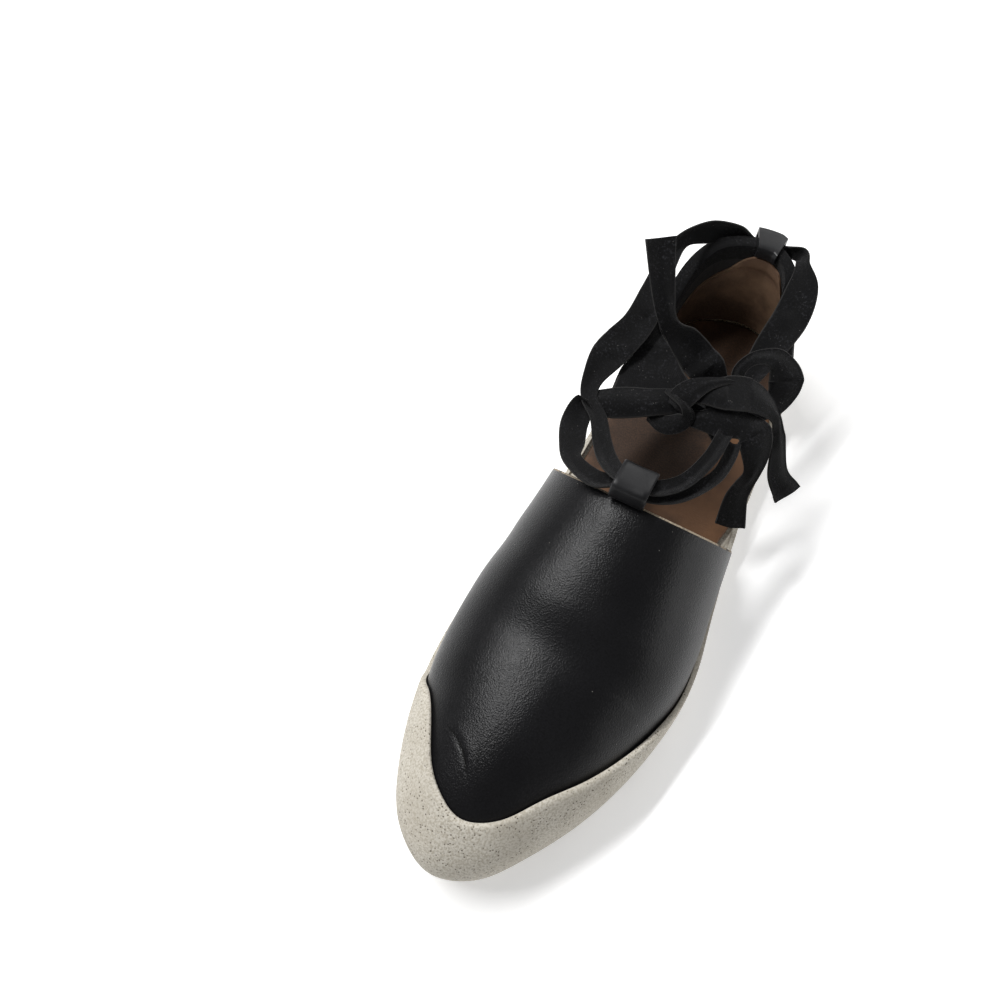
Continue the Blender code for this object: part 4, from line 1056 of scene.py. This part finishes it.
# ---------------------------------------------------------------- ribbons
def ribbon_grid(route, per_span=14, folds=0.9, fold_limit=0.6, cup=0.25, hems=(0.0, 0.0), seed=1):
    """Tape along a route: where it is drawn narrower than it is wide, it bends into one soft trough.

    lift = trough * cos(pi * folds * v + drift) + a shallow cup, v running -1 to 1 across the tape.

    Returns the grid, its cloth coordinates in millimetres and the centre line in metres."""
    table = np.array([(*row[:4], *row[4]) for row in route], float)
    rows = smooth_through(table, per_span)
    path = to_frame(rows[:, 0], rows[:, 1], rows[:, 2]) / MM
    ahead = unit(np.gradient(path, axis=0))
    across = rows[:, 4:7] * (1, -1, 1)
    across = unit(across - ahead * (across * ahead).sum(1)[:, None])
    face = np.cross(ahead, across)
    run = run_along(path)
    v = np.linspace(-1, 1, 31)[None]
    share = rows[:, 3, None]
    half = RIBBON_WIDTH / 2 * share
    spare = np.sqrt(np.maximum(1 / np.minimum(share, 1) ** 2 - 1, 0))
    pleat = np.minimum(half / (2 * folds) * spare, fold_limit)
    draw = np.random.default_rng(seed)
    drift = 0.8 * np.sin(run / 17.0 + draw.uniform(0, 6))
    drift = drift + 0.5 * np.sin(run / 7.3 + draw.uniform(0, 6))
    lift = pleat * np.cos(np.pi * folds * v + 0.5 * drift[:, None])
    narrow = np.clip(1.0 - share, 0, 0.5)
    lift = lift + 0.16 * narrow * np.sin(7.0 * v + 1.6 * drift[:, None])
    lift = lift + cup * (v**2 - 0.4) * np.sin(run / 23.0 + draw.uniform(0, 6))[:, None]
    edge = np.abs(v)
    body = 0.72 + 0.28 * np.exp(-((edge - 0.93) / 0.035) ** 2) - 0.5 * (edge > 0.99)
    hem = np.zeros_like(run)
    for size, reach in ((hems[0], run), (hems[1], run[-1] - run)):
        if size:
            hem = np.maximum(hem, 1 / (1 + np.exp((reach - size) * 6)))
    thick = RIBBON_THICK * body * (1 + 0.75 * hem[:, None])
    grid = carried(path, across, face, half, lift, thick) * MM
    wide = RIBBON_WIDTH / 2 * np.concatenate([v, v[:, ::-1]], 1)
    uv = np.stack(np.broadcast_arrays(run[:, None], wide), -1)
    return grid, uv, path * MM


def ribbon(name, route, slot, *nodes, **shape):
    """A stretch of black tape along a route, and its centre line."""
    grid, uv, path = ribbon_grid(route, **shape)
    piece = grid_piece(name, grid, [TAPE], section=True, capped=True, uv=uv, sharp=65)
    dress(piece, slot, *nodes)
    return piece, path


def free_end(name, route, node, exit_point, far_end="bare", **shape):
    """A loop or end of ribbon that lies by itself: its length is that of its route."""
    piece, path = ribbon(name, route, "black_tape", node, **shape)
    length = float(np.linalg.norm(np.diff(path, axis=0), axis=1).sum())
    return piece, dict(exit=exit_point, length=round(length, 3), diameter=RIBBON_WIDTH * MM, far_end=far_end,
                       stiffness="limp", lay="loose", path=path[::3].tolist() + [path[-1].tolist()])


def at(across, station, height):
    """One place of the pattern as plain numbers of the frame."""
    return tuple(float(v) for v in to_frame(across, station, height))


def knot():
    """The knot: a gathered lump with two turns of tape drawn across it, in one mesh."""
    lean = np.linspace(0, np.pi, 40)[None]
    turn = (np.arange(90) * 2 * np.pi / 90)[:, None]
    way = np.stack([np.cos(turn) * np.sin(lean), np.sin(turn) * np.sin(lean), np.cos(lean) + 0 * turn], -1)
    ridge = 0.05 * np.sin(7 * way[..., 1] + 3 * way[..., 0] + 1.0)
    ridge = ridge + 0.03 * np.sin(13 * way[..., 0] - 5 * way[..., 2])
    spot = np.array(KNOT_CENTRE) + way * np.array(KNOT_RADII) * (0.93 + ridge[..., None])
    lump = to_frame(spot[..., 0], spot[..., 1], spot[..., 2])
    parts = [(lump, np.stack([way[..., 0] * 9, way[..., 1] * 6], -1), True, False)]
    for route in (WRAP, CROSSING):
        grid, uv, _ = ribbon_grid(route, per_span=16, folds=0.8, fold_limit=0.35, cup=-0.2, seed=len(parts))
        parts.append((grid, uv, False, True))
    corners, faces, pairs, first = [], [], [], 0
    for grid, uv, around, section in parts:
        columns, rows = grid.shape[:2]
        faces.append(quads(columns, rows, around, section, first))
        if section:
            faces.append(end_caps(columns, rows, first))
        corners.append(grid.reshape(-1, 3))
        pairs.append(uv.reshape(-1, 2))
        first += columns * rows
    piece = mesh_of("tied_knot", np.vstack(corners), np.vstack(faces), [TAPE], uv=np.vstack(pairs))
    return dress(piece, "black_tape", "ribbon_knot")


CUT_HEM = 3.0             # length of the folded hem at a ribbon's cut end
tied = knot()
ribbon("ribbon_round_the_ankle", AROUND, "black_tape", "ribbon_straps", seed=4)
ribbon("ribbon_over_the_foot", ACROSS, "black_tape", "ribbon_straps", seed=9)
# Part ribbon, part painted shade: a dark sheet wider than the tape at its start.
ribbon("ribbon_inner_strap_and_shade", INNER_STRAP_AND_SHADE, "black_tape", "ribbon_straps", seed=6)
bow, bow_facts = free_end("ribbon_bow_loop", BOW, "ribbon_bow", at(6, 76, 58), far_end="object", seed=12)
side, side_facts = free_end("ribbon_side_end", SIDE_TAIL, "ribbon_side_tail", at(10, 84, 53),
                            hems=(0, CUT_HEM), seed=13)
front, front_facts = free_end("ribbon_front_end", FRONT_TAIL, "ribbon_front_tail", at(-10, 84, 53),
                              hems=(0, CUT_HEM), seed=15)
upper, upper_facts = free_end("ribbon_upper_end", UPPER_TAIL, "ribbon_upper_tail", at(8, 92, 52),
                              hems=(0, CUT_HEM), seed=18)


# ---------------------------------------------------------------- floor, light and camera
FLOOR_DROP = 0.05
VIEW_PLACE = (14.7, -124.9, 286.9)      # in the frame
VIEW_TURN = (26.8, -0.1, 28.5)          # degrees
VIEW_LENS = 28.8


def stage():
    """A flat, pale floor, in metres, a hair under the sole."""
    u, v = np.meshgrid(np.linspace(-3, 3, 40), np.linspace(-3, 3, 40), indexing="ij")
    grid = np.stack([u, v, 0 * u - FLOOR_DROP * MM], -1)
    piece = grid_piece("studio_floor", grid, [floor_finish()], merge=False)


def floor_finish():
    """Near-white card that glows a little."""
    f = Finish("pale_studio_floor", roughness=0.7, emission_color=(1.0, 1.0, 1.0, 1.0),
               emission_strength=0.34)
    cloud = f.ramp(f.noise(6.0, 3.0), 0.3, 0.7)
    return f.set(colour=f.mix(cloud, paint(246, 246, 246), paint(243, 243, 243)))


def soft_box(name, place, aim, size, power):
    """A rectangular light, in metres and watts, turned to face a point."""
    light = bpy.data.lights.new(name, "AREA")
    light.shape = "RECTANGLE"
    light.size, light.size_y = size
    light.energy = power
    lamp = bpy.data.objects.new(name, light)
    bpy.context.scene.collection.objects.link(lamp)
    lamp.location = place
    lamp.rotation_euler = (Vector(aim) - Vector(place)).to_track_quat("-Z", "Y").to_euler()


def camera():
    """The view: from over the toe's outer side, looking down steeply at the instep."""
    seen = bpy.data.cameras.new("view")
    seen.sensor_width = 36.0
    seen.lens = VIEW_LENS
    seen.clip_start = 0.01
    holder = bpy.data.objects.new("view", seen)
    holder.location = np.array(VIEW_PLACE) * MM
    holder.rotation_euler = np.radians(VIEW_TURN)
    bpy.context.scene.collection.objects.link(holder)
    bpy.context.scene.camera = holder


stage()
soft_box("key_box", (-0.66, 0.10, 1.02), (0, -0.06, 0.04), (1.0, 0.1), 16)
soft_box("back_box", (0.1, 1.15, 0.75), (0, 0, 0), (0.9, 0.5), 4)
soft_box("right_box", (1.05, 0.25, 0.20), (0, -0.03, 0.02), (0.8, 0.14), 2)
world = bpy.data.worlds.new("studio_surround")
world.use_nodes = True
world.node_tree.nodes["Background"].inputs["Color"].default_value = (1.0, 1.0, 1.0, 1.0)
world.node_tree.nodes["Background"].inputs["Strength"].default_value = 0.25
bpy.context.scene.world = world
bpy.context.scene.view_settings.view_transform = "Standard"
camera()
